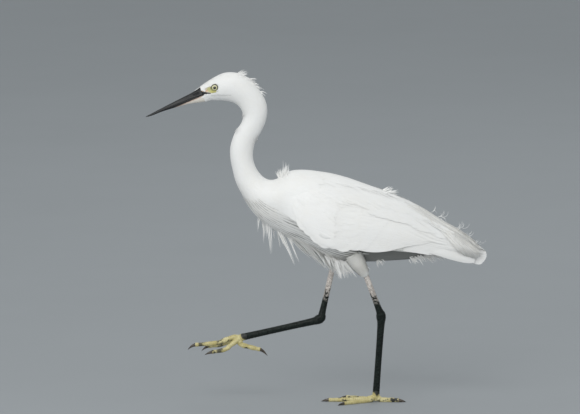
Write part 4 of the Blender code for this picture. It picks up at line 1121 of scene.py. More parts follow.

# %% [markdown]
# The breast ends in long lance-shaped feathers that run down from the foot of the neck to between the legs,
# with dark grooves between them. They are narrow vanes with a low cup, in columns, and their edges are
# darkened with painted shade, so that each groove shows.

# %% Breast
def breast_lances():
    """Columns of lances on the lower half of the breast, each at least four fifths as wide as its column, and
    darkened at its edges with painted shade of the grooves. Down a column the next one starts long before the
    last one ends."""
    columns, rows, half_fan = 27, 9, 1.3
    column, row = grid_of(columns, rows)
    count = len(column)
    share = column / (columns - 1) * 2 - 1
    angle = math.pi + share * half_fan + rng.normal(0, 0.004, count)
    ring = 16.8 + row * 0.57 + 0.25 * (column % 2) + np.abs(share) * 0.8 + rng.uniform(-0.1, 0.1, count)
    length = 32 + 3.0 * row + rng.uniform(-4, 4, count)
    spacing = speeds(body_point, ring + 1.3, angle)[1] * 2 * half_fan / (columns - 1)
    width = spacing * rng.uniform(0.8, 1.0, count)
    t = np.linspace(0, 1, 9)
    height = -1.2 * rooted(t, 0.25) + 0.5 + 0.6 * t * rng.uniform(0.2, 1, (count, 1))
    turn = -0.05 * share + rng.normal(0, 0.008, count)
    # Painted shade along each lance's edges, where the grooves between lances lie.
    edge = np.array([1.0, 0.1, 0.0, 0.1, 1.0, 1.0]) * rng.uniform(0.6, 1.0, (count, 1, 1))
    edge = edge * smooth(t * 3)[:, None]
    return short_feathers(body_point, ring, angle, length, width, turn, height, outline(9, 0.45, 0.5, 0.08),
                          camber=0.4, section=LANCE, cream=0.06, dusk=edge, silk=0.6)


coat_piece("coat_breast", [breast_lances()], SOFT)

# %% [markdown]
# Loose plumes are what an egret is known for. Some hang free from the breast, some make the crest, and the
# finest veil the wing ends and curl up at their tips. A free plume is a path in space: root, direction,
# length, and how it sags or curls. Many strands follow one path with small differences.

# %% Free plumes
BREAST_PLUMES = (
    (-148.0, 238.0, -3.0, 22.0, -0.10), (-143.0, 233.0, 5.0, 33.0, -0.02), (-138.5, 229.0, -7.0, 42.0, 0.07),
    (-134.0, 226.0, 2.0, 20.0, 0.10), (-129.0, 223.0, -9.0, 49.0, 0.42), (-124.0, 220.0, 8.0, 28.0, 0.30),
    (-119.5, 218.0, -4.0, 40.0, 0.40), (-114.0, 215.0, -10.0, 16.0, 0.30), (-131.0, 224.0, 9.0, 30.0, 0.20),
    (-141.0, 231.5, -2.0, 24.0, 0.00), (-126.5, 221.0, -1.0, 24.0, 0.24), (-117.0, 216.5, 3.0, 22.0, 0.36),
)
BELLY_PLUMES = (
    (19.5, 176, -76.0, 180.0), (19.9, 164, -66.0, 175.0), (20.1, 174, -57.0, 164.0),
    (20.5, 160, -49.0, 160.0), (20.7, 170, -41.0, 155.0), (21.2, 162, -34.0, 161.0),
    (21.8, 170, -27.0, 167.0),
)


def hanging_plumes():
    """Bundles that hang from the breast and draw together to one tip each."""
    bundles = []
    for x, z, y, length, lean in BREAST_PLUMES:
        root, down = np.array([x + 3.5, y, z + 9.0]), np.array([lean, 0.02 * np.sign(y), -1.0])
        sway = np.array([rng.normal(0, 1.2), 0.0, 0.0])
        middle = [root + down * length * 0.45 + sway, root + down * length * 0.8]
        path = [root, *middle, root + down * (length + 9)]
        bundles.append(lock(path, 9, (1.6, 0.9, 1.0), (0.5, 0.6, 0.5), 1.25, reach=(0.75, 1.0), cream=0.04))
    return bundles


def belly_fringe():
    """Lances that follow the lower breast back, then hang in ragged points between the legs."""
    bundles = []
    for side in (-1.0, 1.0):
        for ring, angle, tip_x, tip_z in BELLY_PLUMES:
            at = np.radians([angle, angle])
            root, later = body_point(np.array([ring, ring + 1.1]), at) * [1, -side, 1]
            for drop in (0.0, -4.0, 4.0):
                tip = np.array([tip_x + drop, later[1] * 0.6, tip_z + abs(drop)])
                path = [root + UP * 2.5, later - UP * 1.0, (later + tip) / 2 - UP * 1.5, tip]
                bundles.append(lock(path, 7, (1.5, 2.4, 0.8), (2.2, 2.0, 1.4), 2.3, (-0.4, side * 0.6, -1.0),
                                    (0.7, 1.0), 12, cream=0.05))
    return bundles


def standing_locks(places, surface, count, width, root_spread=0.7, tip_spread=1.3, face=(0.2, -1.0, 0.3)):
    """Wisps that leave a surface. Each place is ring, angle, length along the body and rise from it."""
    bundles = []
    for ring, angle, length, rise in places:
        at, turn = np.array([ring, ring + 0.03]), np.array([angle, angle])
        root, ahead = surface(at, turn)
        ahead, up = unit(ahead - root), outward(surface, at, turn)[0]
        path = [root - up * 1.2, root + ahead * length * 0.4 + up * rise * 0.35,
                root + ahead * length + up * rise]
        bundles.append(lock(path, count, root_spread, tip_spread, width, face, (0.55, 1.0), 8, 0.2,
                            skyward=0.5))
    return bundles


CREST = [(4.5, 0.0, 7.5, 6.5), (4.7, 0.3, 7.0, 5.0), (4.65, -0.3, 7.0, 5.0), (4.95, 0.1, 7.5, 4.4),
         (5.05, -0.45, 7.0, 2.6), (5.4, 0.4, 7.0, 2.2), (5.7, 0.0, 7.0, 4.2), (5.85, -0.25, 7.0, 3.0),
         (6.0, 0.3, 7.0, 2.8), (6.4, 0.05, 6.5, 4.0), (6.6, -0.25, 6.0, 2.6), (7.0, 0.2, 6.5, 2.2)]
NAPE = [(18.55, 0.0, 3.0, 9.0), (18.75, 0.25, 5.0, 10.0), (18.85, -0.25, 5.0, 9.0), (19.0, 0.05, 7.0, 13.0),
        (19.2, -0.1, 8.0, 10.0), (19.3, 0.3, 9.0, 7.0)]
MIDDLE_BACK = [(24.8, 0.0, 8.0, 8.8), (24.85, 0.25, 9.0, 8.0), (24.85, -0.25, 10.0, 7.0),
               (24.95, 0.1, 12.0, 6.0), (25.05, -0.1, 13.0, 4.5)]
coat_piece("plumes_breast", hanging_plumes(), SOFT)
coat_piece("fringe_belly", belly_fringe(), SOFT)
coat_piece("crest_and_tufts", [
    *standing_locks(CREST, body_point, 9, 0.85), *standing_locks(NAPE, back_surface, 14, 1.1, 1.3, 1.8),
    *standing_locks(MIDDLE_BACK, back_surface, 9, 1.7, 1.0, 1.5, (0.1, -0.8, 0.6)),
], SOFT)

# %% [markdown]
# The long plumes of the back have no firm vane at all. Each is a bare shaft with loose barbs, so together
# they are a veil. They run along the back, then fall steeply over the wing ends and the tail. A strand is
# laid on the back's surface, and where it hangs free behind it, it drops to its own path.

# %% Veil of the back
def from_side(x, z):
    """Ring and angle of the place on the back's surface that shows at x and z from the side."""
    ring = ring_at(x, 20)
    centre, half, _ = body_frame(ring)
    height = np.linalg.norm(half, axis=-1) + 8.0
    return ring, np.arccos(np.clip((z - centre[..., 2]) / height, -0.9, 0.9995))


HIGH_STRAND = np.array([(36, 257.0), (62, 248.0), (86, 231.0), (110, 214.0), (134, 195.0)])
LOW_STRAND = np.array([(28, 256.0), (56, 240.0), (81, 219.5), (100, 197.5), (119, 177.0)])


def veil(mirror, count):
    """q is 0 for strands along the ridge and 1 for those that fall first. Each is a stretch of the path at q
    between two drawn in the side view."""
    q, t = rng.random(count)[:, None, None], np.linspace(0, 1, 11)
    at = rng.uniform(0, 1.6, (count, 1)) * (1 - t) + rng.uniform(3.1, 4.0, (count, 1)) * t
    path = spline(HIGH_STRAND, at) * (1 - q) + spline(LOW_STRAND, at) * q
    path[..., 1] += rng.normal(0, 0.7, (count, 1)) + 0.5 * np.sin(t * rng.uniform(4, 9, (count, 1)))
    ring, angle = from_side(path[..., 0], path[..., 1])
    angle += rng.uniform(-0.5, 0.1, (count, 1)) * (1 - q[..., 0]) ** 2
    height = -1.2 + 1.8 * smooth(t / 0.15) + rng.uniform(0, 1.5, (count, 1)) * smooth((t - 0.4) / 0.6)
    drop = np.maximum(back_surface(ring, angle)[..., 2] - path[..., 1], 0) * smooth((ring - 27) / 1.5)
    placed = on_surface(back_surface, ring, angle, height, mirror, drop)
    width = rng.uniform(0.45, 1.1, count)[:, None] / 2 * (1 - 0.8 * t ** 2)
    # Painted shade: four in ten strands are greyed, more towards the wing ends and tail, where the veil lies
    # in shade.
    grey = np.where(rng.random(count) < 0.4, rng.uniform(0.15, 0.42, count), rng.uniform(0, 0.05, count))
    cream = np.where(rng.random(count) < 0.5, 0.22, 0.04)[:, None] * smooth((ring - 24.0) / 1.5)
    dusk = grey[:, None] * smooth((ring - 25.5) / 1.5)
    place = body_place(ring[:, 0], angle[:, 0])
    return vanes(placed, width, np.minimum(width, STRAND_THICK), place, camber=0.5, silk=0.6,
                 cream=cream[..., None], dusk=dusk[..., None])


def curls(x, z, count, reach):
    """Loose ends that leave the veil and curl upwards and forwards: heading = start + bend * t."""
    t = np.linspace(0, 1, 10)
    bend = rng.uniform(1.0, 2.6, (count, 1)) * np.where(rng.random((count, 1)) < 0.8, 1, -0.6)
    heading = rng.uniform(-0.5, 0.35, (count, 1)) + bend * t
    step = reach * rng.uniform(0.5, 1.1, (count, 1)) / 9
    paths = np.stack([
        x + rng.normal(0, 3.0, (count, 1)) + np.cumsum(np.cos(heading) * step, axis=1),
        rng.normal(0, 4.0, (count, 1)) + rng.normal(0, 2.0, (count, 1)) * t,
        z + rng.normal(0, 1.0, (count, 1)) + np.cumsum(np.sin(heading) * step, axis=1),
    ], -1)
    sideways, normals = ribbon(paths, [0.0, -1.0, 0.0])
    half = rng.uniform(0.3, 0.5, (count, 1)) / 2 * (1 - 0.6 * t)
    return vanes((paths, sideways, normals, normals), half, half,
                 body_place(np.full(count, 29.0), rng.normal(0, 0.2, count)), camber=0.6, silk=0.5)


coat_piece("veil_left", [veil(False, 1300)], SOFT)
coat_piece("veil_right", [veil(True, 1300)], SOFT)
coat_piece("curled_ends", [curls(68, 242, 6, 9), curls(79, 235, 9, 11), curls(101, 220, 9, 12),
                           curls(113, 211, 9, 10), curls(125, 201, 8, 8)], SOFT)

# %% [markdown]
# The tail is short and square: twelve feathers stacked in a low roof, of which the middle pair lies on top.
# The ends of the longest wing feathers close over its root. Below it soft undertail feathers hang out, and so
# does a ragged fringe between the thighs, which have a short coat of their own.

# %% Tail, fringes and thighs
def tail_feathers():
    """Six pairs. Each next pair starts lower, lies further out and leans more. A vane ends in half an
    ellipse."""
    pair = np.repeat(np.arange(6), 2)
    side = np.tile([-1.0, 1.0], 6)
    out = pair + 0.5
    roots = np.stack([np.full(12, 84.0), side * out * 1.1, 204.0 - out * 1.3], -1)
    tips = np.stack([138.4 - 0.35 * (out - 1.6) ** 2, side * (1.0 + out * 0.9), 190.0 - out * 2.4], -1)
    t = np.sin(np.linspace(0, math.pi / 2, 16))
    bow = UP * 3.0 * np.sin(math.pi * t)[None, :, None]
    paths = roots[:, None] * (1 - t[:, None]) + tips[:, None] * t[:, None] + bow
    lean = np.radians(35 + 10 * pair)
    facing = np.stack([np.full(12, 0.3), side * np.sin(lean), np.cos(lean)], -1)[:, None]
    sideways, normals = ribbon(paths, facing)
    ellipse = np.sqrt(np.clip(1 - (np.maximum(t - 0.78, 0) / 0.22) ** 2, 0.01, 1))
    half = 6.2 * (0.4 + 0.6 * smooth(t / 0.7)) * ellipse
    place = body_place(np.full(12, 29.0), math.pi + side * 0.2 * out)
    return vanes((paths, sideways, normals, normals), half, TAIL_THICK, place, camber=0.14,
                 section=QUILLED, silk=0.5)


def flight_tips(mirror):
    """The ends of the longest wing feathers, which close over the root of the tail. Each next one lies lower:
    share 0 is the top one and 1 the lowest."""
    count, side = 7, 1.0 if mirror else -1.0
    share = np.linspace(0, 1, count)[:, None]
    corners = [np.hstack([46.0 + 0 * share, side * (22.5 + share), 207.0 - 7.0 * share]),
               np.hstack([84.0 + 0 * share, side * (18.0 + 1.5 * share), 199.0 - 6.5 * share]),
               np.hstack([126.0 - 3.0 * share, side * (8.5 + 1.5 * share), 188.0 - 9.0 * share])]
    t = np.linspace(0, 1, 12)
    paths = np.stack([spline(np.array([c[i] for c in corners]), 2 * t) for i in range(count)])
    sideways, normals = ribbon(paths, [0.05, side, 0.18])
    half = 6.6 * outline(12, 0.6, 0.6, 0.2) * np.ones((count, 1))
    place = body_place(np.full(count, 26.5), 1.2 + 0.1 * np.arange(count))
    return vanes((paths, sideways, normals, normals), half, TAIL_THICK, place, camber=0.08,
                 section=QUILLED, silk=0.6)


def hanging_fluff(places, side_spread, count=34, width=1.25):
    """Soft white ends below the body. Each place is x, y, z, length and lean."""
    bundles = []
    for x, y, z, length, lean in places:
        root, down = np.array([x, y, z]), np.array([lean, 0.0, -1.0])
        path = [root, root + down * length * 0.5 + [0.6, 0, 0], root + down * length]
        bundles.append(lock(path, count, (1.8, side_spread, 1.0), (3.4, side_spread, 1.8), width,
                            (0.0, -1.0, 0.4), (0.35, 1.0), 8, 0.3))
    return bundles


FRINGE_ENDS = ((-49, 182, 24, 0.25), (-44, 181, 23, 0.2), (-40, 180, 19, 0.7), (-35, 181, 17, 1.0),
               (-31, 183, 14, 1.2))
LEG_FRINGE = [(-62, y, 186, 14, 0.5) for y in (-12, 8)] + [(-55, y, 184, 20, 0.4) for y in (-14, 10)] + [
    (x, y, z, length, lean) for y in (-21, 9) for x, z, length, lean in FRINGE_ENDS]
UNDERTAIL = [(44, -11, 184, 7, 0.9), (52, -10, 186, 9, 0.8), (60, -8, 187, 8, 1.1), (70, -7, 189, 9, 0.9),
             (78, -6, 190, 10, 0.9), (86, -4, 191, 9, 1.2), (3, -9, 181, 7, 0.5), (60, 8, 187, 8, 1.0),
             (78, 6, 190, 9, 1.0)]


def thigh_coat(thigh, ankle):
    """Short feathers down a thigh."""
    path = np.concatenate([thigh, [thigh[-1] + unit(ankle - thigh[-1]) * 5.0]])

    def surface(ring, angle):
        """Round the thigh: front * cos(angle) - side * sin(angle), times the radius at that share of its
        length."""
        centre = spline(path, ring)
        ahead = unit(spline(path, ring + 0.02) - spline(path, ring - 0.02))
        across = unit(SIDE - ahead * ahead[..., 1:2])
        radius = np.interp(ring, [0, 1, 2, 3], [*THIGH_RADII, 4.2])
        return (centre + np.cross(across, ahead) * (np.cos(angle) * radius)[..., None]
                - across * (np.sin(angle) * radius * 0.92)[..., None])

    ring, angle = scatter(surface, 0.1, 1.68, lambda r: 1.5, lambda r: 1.2)
    count = len(ring)
    t = np.linspace(0, 1, 4)
    height = -1.0 * rooted(t, 0.4) + 0.3 * t * rng.random((count, 1))
    box_low = 0.675 if thigh[0][1] < 0 else 0.845
    place = np.stack([0.815 + 0.17 * ring / 3, box_low + 0.14 * angle / WHOLE_TURN], -1)
    length, width = rng.uniform(5.0, 7.0, count), rng.uniform(1.5, 2.4, count)
    # The cream on the thighs is painted warm sunlight.
    return short_feathers(surface, ring, angle, length, width, rng.normal(0, 0.12, count), height,
                          outline(4, 0.5, 0.4, 0.1), place=place, cream=0.15,
                          glow=lambda rings, angles: np.full(rings.shape, 0.35))


coat_piece("tail_feathers", [tail_feathers()], FIRM)
coat_piece("flight_feather_ends", [flight_tips(False), flight_tips(True)], FIRM)
coat_piece("fringes", hanging_fluff(LEG_FRINGE, 2.6) + hanging_fluff(UNDERTAIL, 1.5, 16, 1.5), SOFT)
coat_piece("thigh_feathers", [thigh_coat(LEFT_THIGH, LEFT_ANKLE), thigh_coat(RIGHT_THIGH, RIGHT_ANKLE)], SOFT)

# %% [markdown]
# The bill is a dagger of two halves. The upper one has a ridge, flat sides and a groove with the nostril in
# it, the lower one a keel. Both are lofts along the bill: at each station a section between the mouth line
# and the ridge or the chin. A modelled box with bevels could not taper so evenly.

# %% Bill
MOUTH_GAP = 0.12
PALE_EDGE_X, PALE_EDGE_Z, PALE_EDGE_SLOPE = -0.2521, 0.372, 0.4394
HORN_BLACK, HORN_GREY = (0.008, 0.009, 0.010), (0.018, 0.021, 0.024)
HORN_PINK, HORN_PALE = (0.50, 0.36, 0.29), (0.74, 0.70, 0.63)


def half_bill(upper):
    """Round each station: y = half width * cos(turn) to a power, z = mouth + rise * sin(turn). The nostril
    groove presses the upper half's sides in along a line."""
    stations, sides = 110, 40
    at = np.linspace(0, len(BILL_RINGS) - 1, stations)
    x, ridge, mouth, chin, half, lean = (column[:, None] for column in spline(BILL_RINGS, at).T)
    turn = np.linspace(0, math.pi, sides)[None, :]
    gap = MOUTH_GAP if upper else -MOUTH_GAP
    rise = (ridge if upper else chin) - mouth - gap
    lift = np.sin(turn) ** (1.0 if upper else 0.85)
    across = np.sign(np.cos(turn)) * np.abs(np.cos(turn)) ** (0.72 if upper else 0.8) * half
    if upper:
        groove = np.exp(-((lift - 0.5) / 0.16) ** 2) * smooth((at[:, None] - 2.6) / 1.6)
        nostril = np.exp(-((x + 224.0) / 3.4) ** 4) * np.exp(-((lift - 0.42) / 0.1) ** 2)
        across = across * (1 - 0.13 * groove) - np.sign(np.cos(turn)) * nostril * 1.1
    z = mouth + gap + lift * rise
    points = np.stack([x + lean * (z - mouth), across, z], -1)
    under = points[:, 1:-1][:, ::-1] * [1, 0.82, 1]
    under[..., 2] = mouth + gap + (0.1 if upper else -0.1) * np.minimum(np.abs(rise), 0.6)
    under[..., 0] = x + lean * (under[..., 2] - mouth)
    return np.concatenate([points, under], axis=1)


def horn(wires, shader):
    """Black horn with long fine streaks. Below a slanting line the lower half is pale, and pink where the
    black ends."""
    x, _, z = wires.here()
    stretched = wires.put("Mapping", Vector=wires.put("TexCoord").outputs["Object"],
                          Rotation=(0, math.radians(-30), 0), Scale=(60, 900, 900)).outputs[0]
    streaks = wires.put("TexNoise", Vector=stretched, Scale=1.0, Detail=4.0).outputs[0]
    colour = wires.blend(wires.step(streaks, 0.45, 0.75), HORN_BLACK, HORN_GREY)
    edge = wires.maths("MULTIPLY_ADD", x, PALE_EDGE_SLOPE, PALE_EDGE_Z - PALE_EDGE_X * PALE_EDGE_SLOPE)
    below = wires.minus(edge, z)
    wobble = wires.times(wires.minus(wires.noise(260.0), 0.5), 0.0012)
    below = wires.maths("ADD", below, wobble)
    pale = wires.blend(wires.step(below, 0.0, 0.0022), HORN_PINK, HORN_PALE)
    far = wires.step(x, -0.257, -0.250)
    colour = wires.blend(wires.times(wires.step(below, -0.0002, 0.0005), far), colour, pale)
    rough = wires.maths("MULTIPLY_ADD", streaks, 0.2, 0.32)
    link(wires, shader, Base_Color=colour, Roughness=rough, Normal=wires.relief(streaks, 0.0002, 0.4))


HORN = material("bill horn", horn, Specular_IOR_Level=0.4, Coat_Weight=0.06, Coat_Roughness=0.2)
for half_name, is_upper in (("bill_upper", True), ("bill_lower", False)):
    closed_piece(half_name + "_horn", half_bill(is_upper), HORN, (half_name,))

# %% [markdown]
# A bird's eye is mostly hidden. What shows is a wet disc: a pale iris, a round black pupil and the dark edge
# of the lids. The ball bulges a little over the pupil, and a clear coat makes it wet. The lids are a rim, a
# ring swept round the eye and a little longer than it is high.

# %% Eyes and lids
LID_STEPS, LID_SIDES = 72, 14
IRIS_PALE, IRIS_DEEP, IRIS_EDGE = (0.80, 0.78, 0.52), (0.62, 0.60, 0.33), (0.10, 0.10, 0.05)
PUPIL_BLACK = (0.004, 0.004, 0.004)
LID_OLIVE, LID_DARK = (0.40, 0.39, 0.17), (0.035, 0.035, 0.025)


def eyeball(centre, side):
    """A ball about the y axis: radius + bulge * (1 - distance / 3.2)^1.5 over the pupil."""
    polar, turn = np.meshgrid(np.linspace(0.02, math.pi - 0.02, 60), turns(64), indexing="ij")
    off = EYE_RADIUS * np.sin(polar)
    radius = EYE_RADIUS + 0.3 * np.where(np.cos(polar) > 0, np.clip(1 - off / 3.2, 0, 1) ** 1.5, 0)
    return centre + np.stack([off * np.cos(turn), side * radius * np.cos(polar), off * np.sin(turn)], -1)


def lids(centre, side):
    """A rim round the eye, longer than high and drawn out to a corner in front: radius * (1.06 + 0.32 * f^5),
    f the share of the direction that points to the bill."""
    turn, section = np.meshgrid(turns(LID_STEPS), turns(LID_SIDES), indexing="ij")
    front = np.clip(-np.cos(turn - 0.25), 0, 1)
    fold = 1.0 + 0.02 * np.sin(9 * turn)
    thick = 0.4 * (1 - 0.3 * front ** 3)
    radius = EYE_RADIUS * 0.87 * fold + thick * np.cos(section)
    height = 2.65 - 0.2 * np.cos(turn) - 1.3 * front ** 5 + thick * np.sin(section)
    x = centre[0] + radius * (1.06 + 0.32 * front ** 5) * np.cos(turn)
    return np.stack([x, centre[1] + side * height, centre[2] + radius * 0.98 * np.sin(turn)], -1)


def iris(wires, shader):
    """Distance from the eye's axis in the side view: pupil, iris with fine spokes, dark edge."""
    x, _, z = wires.here()
    x, z = wires.maths("ADD", x, -EYE_X * MM), wires.minus(z, EYE_Z * MM)
    off = wires.maths("SQRT", wires.maths("MULTIPLY_ADD", x, x, wires.times(z, z)))
    around = wires.times(wires.maths("ARCTAN2", z, x), 6.0)
    spoke_place = wires.put("CombineXYZ", _0=around, _1=wires.times(off, 400.0)).outputs[0]
    spokes = wires.put("TexNoise", Vector=spoke_place, Scale=3.0, Detail=3.0).outputs[0]
    colour = wires.blend(spokes, IRIS_PALE, IRIS_DEEP)
    colour = wires.blend(wires.step(off, 0.0031, 0.0037), colour, IRIS_EDGE)
    colour = wires.blend(wires.step(off, 0.0020, 0.0016), colour, PUPIL_BLACK)
    link(wires, shader, Base_Color=colour)


IRIS = material("eye", iris, Roughness=0.12, Coat_Weight=0.8, Coat_Roughness=0.03)


def lid_skin(wires, shader):
    """Dark above and behind, olive yellow below and in front."""
    x, _, z = wires.here()
    high = wires.maths("MULTIPLY_ADD", x, 0.5, z)
    dark = wires.step(high, 0.2940, 0.2995)
    colour = wires.blend(dark, LID_OLIVE, LID_DARK)
    colour = wires.blend(wires.times(wires.noise(900.0), 0.5), colour, (0.3, 0.3, 0.25), "MULTIPLY")
    link(wires, shader, Base_Color=colour)


LID = material("lid skin", lid_skin, Roughness=0.45)
for eye_name, eye_side in (("eye_left", -1), ("eye_right", 1)):
    low_corner, high_corner = (np.array(corner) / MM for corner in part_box(eye_name))
    middle = (low_corner + high_corner) / 2
    closed_piece(eye_name + "_ball", eyeball(middle, eye_side), IRIS, (eye_name,))
    a, b = np.meshgrid(np.arange(LID_STEPS), np.arange(LID_SIDES), indexing="ij")
    c, d = (a + 1) % LID_STEPS * LID_SIDES, (b + 1) % LID_SIDES
    lid_quads = np.stack([a * LID_SIDES + b, c + b, c + d, a * LID_SIDES + d], -1).reshape(-1, 4)
    if eye_side > 0:
        lid_quads = lid_quads[:, ::-1]
    mesh_piece(f"lids_{eye_name[4:]}", lids(middle, eye_side).reshape(-1, 3), [lid_quads], LID)

# %% [markdown]
# The legs are bare from the lower thigh down. The skin is horny: large plates overlap down the front, and
# small scales cover the rest. Above the ankle the black fades to a mottled pinkish white. The plates are real
# relief in the mesh, a saw-tooth along the leg, and the small scales are bump.

# %% Legs
PLATE_STEP = 3.4
# The second colour is painted sheen on the black skin.
LEG_BLACK, LEG_PAINTED_SHEEN, LEG_PALE = (0.005, 0.009, 0.008), (0.010, 0.018, 0.015), (0.90, 0.83, 0.77)
LEG_WORN, LEG_GROOVE = (0.16, 0.13, 0.11), (0.006, 0.008, 0.007)
FADE_LOW, FADE_HIGH = 0.121, 0.150


def leg_grid(hem, ankle, foot):
    """One tube from the hem to the foot. Its radius swells at the ankle, and each plate starts proud and
    sinks towards the next."""
    down, along = unit(ankle - hem), unit(foot - ankle)
    length = np.linalg.norm(foot - ankle)
    before = np.linalg.norm(ankle - hem)
    stops = np.array([hem - down * 4, hem + down * before * 0.3, hem + down * before * 0.62, ankle - down * 9,
                      ankle - down * 3.0, ankle + (along - down) * 0.6 + along * 3.5, ankle + along * 11,
                      ankle + along * length * 0.35, ankle + along * length * 0.7, foot - along * 2.0])
    radii = np.array([3.3, 3.45, 3.6, 4.2, 5.3, 5.5, 4.6, 4.1, 4.05, 4.4])
    run = run_along(stops)
    stations, sides = 420, 48
    at = np.interp(np.linspace(0, run[-1], stations), run, np.arange(len(stops)))
    path, radius = spline(stops, at), spline(radii[:, None], at)[:, 0]
    turn = turns(sides)
    place = np.linspace(0, run[-1], stations)[:, None]
    facing_front = smooth((np.cos(turn - math.pi) - 0.15) / 0.5)[None, :]
    plate = np.mod(place / PLATE_STEP + 0.12 * np.cos(turn)[None, :], 1.0)
    ridge = (0.28 * (1 - plate) - 0.25 * np.exp(-(plate / 0.08) ** 2)) * facing_front
    knob = 0.5 * np.exp(-((place - run[4] - 2) / 4.5) ** 2) * np.cos(2 * turn)[None, :]
    return tube_points(path, radius[:, None] + ridge + knob, sides, 0.84)


def leg_skin(wires, shader):
    """Greenish black, mottled with lighter patches of painted sheen; pinkish white near the thigh, where a
    mask of height and noise lets it show."""
    mottle = use(wires, MOTTLE, Scale=260.0, From=0.42, To=0.56)["Mask"]
    scales = use(wires, SCALES, Scale=650.0, Groove=0.16)
    high = wires.put("MapRange", _0=wires.here()[2], _1=FADE_LOW, _2=FADE_HIGH).outputs[0]
    pale = wires.step(wires.maths("MULTIPLY_ADD", high, 1.5, wires.times(mottle, 0.6)), 0.62, 1.6)
    # Painted sheen: lighter green patches where the mottle lets them show.
    colour = wires.blend(mottle, LEG_BLACK, LEG_PAINTED_SHEEN)
    colour = wires.blend(pale, colour, LEG_PALE)
    worn = use(wires, MOTTLE, Scale=420.0, From=0.5, To=0.62)["Mask"]
    colour = wires.blend(wires.times(worn, 0.42), colour, LEG_WORN, "MULTIPLY")
    colour = wires.blend(wires.times(scales["Groove"], 0.6), colour, LEG_GROOVE)
    rough = wires.maths("MULTIPLY_ADD", mottle, 0.12, 0.2)
    relief = wires.relief(scales["Height"], 0.00025, 0.7)
    link(wires, shader, Base_Color=colour, Roughness=rough, Normal=relief)


LEG = material("leg skin", leg_skin, Specular_IOR_Level=0.2)
for leg_name, thigh, ankle, foot in (("left", LEFT_THIGH, LEFT_ANKLE, LEFT_FOOT),
                                     ("right", RIGHT_THIGH, RIGHT_ANKLE, RIGHT_FOOT)):
    closed_piece(f"leg_{leg_name}", leg_grid(thigh[-1], ankle, foot), LEG,
                 (f"shank_{leg_name}", f"tarsus_{leg_name}"))

# %% [markdown]
# Yellow feet on black legs are the mark of a little egret. Each toe swells into a pad at every joint, has
# broad scutes on top and ends in a dark curved claw. Toes and palm are tubes that run into one another, so a
# voxel remesh merges them into one skin first. The scutes come after it, worked out from how far along the
# nearest toe each point lies.

# %% Feet
TOE_RADIUS, CLAW_LENGTH = 3.45, 9.0
TOE_JOINTS, SCUTE_STEP, VOXEL = 4, 2.6, 0.42
TOE_OLIVE, TOE_YELLOW, TOE_GROOVE = (0.50, 0.43, 0.17), (0.68, 0.62, 0.34), (0.16, 0.13, 0.04)
TOE_BLACK, LEG_END = (0.02, 0.022, 0.018), (0.015, 0.018, 0.015)
TOE_BANDS = ((-0.190, -0.201), (-0.213, -0.224))
STANDING = (("inner", 43.0, -33, 0.95), ("middle", 59.0, -1, 1.0), ("outer", 47.0, 32, 0.95),
            ("hind", 29.0, 174, 1.05))
LIFTED = (
    ("inner", ((-181.0, 8.5, 71.0), (-189.0, 4.0, 65.5), (-205.5, -1.0, 63.2)), 0.95),
    ("middle", ((-181.0, 13.5, 79.0), (-199.0, 14.5, 72.5), (-226.5, 15.0, 69.8)), 1.0),
    ("outer", ((-179.0, 17.5, 76.0), (-192.0, 24.0, 69.0), (-210.0, 30.0, 65.5)), 0.95),
    ("hind", ((-170.0, 12.5, 71.5), (-158.0, 12.0, 67.5), (-145.0, 11.5, 64.4)), 1.05),
)


def standing_toes():
    """Name, path and size of each toe on the ground: straight out from the foot, resting on its pads."""
    toes = []
    for name, length, angle, share in STANDING:
        turn = math.radians(angle)
        ahead = np.array([-math.cos(turn), -math.sin(turn), 0.0])
        level = TOE_RADIUS * share * 0.84
        points = [ahead * length * part + UP * level * (1 - 0.3 * part) for part in (0.22, 0.6, 1.0)]
        toes.append((name, points, share))
    return toes


def toe_tube(path, share):
    """A toe's middle line and its tube: radius = toe radius * (1 - 0.3 t) * (1 + 0.09 * cos(8 pi * t)), a
    pad at each of four joints."""
    t = np.linspace(0, 1, 60)
    points = spline(path, t * (len(path) - 1))
    radius = TOE_RADIUS * share * (1 - 0.3 * t) * (1 + 0.09 * np.cos(WHOLE_TURN * TOE_JOINTS * t))
    return points, tube_points(points, radius, 24, 0.95)


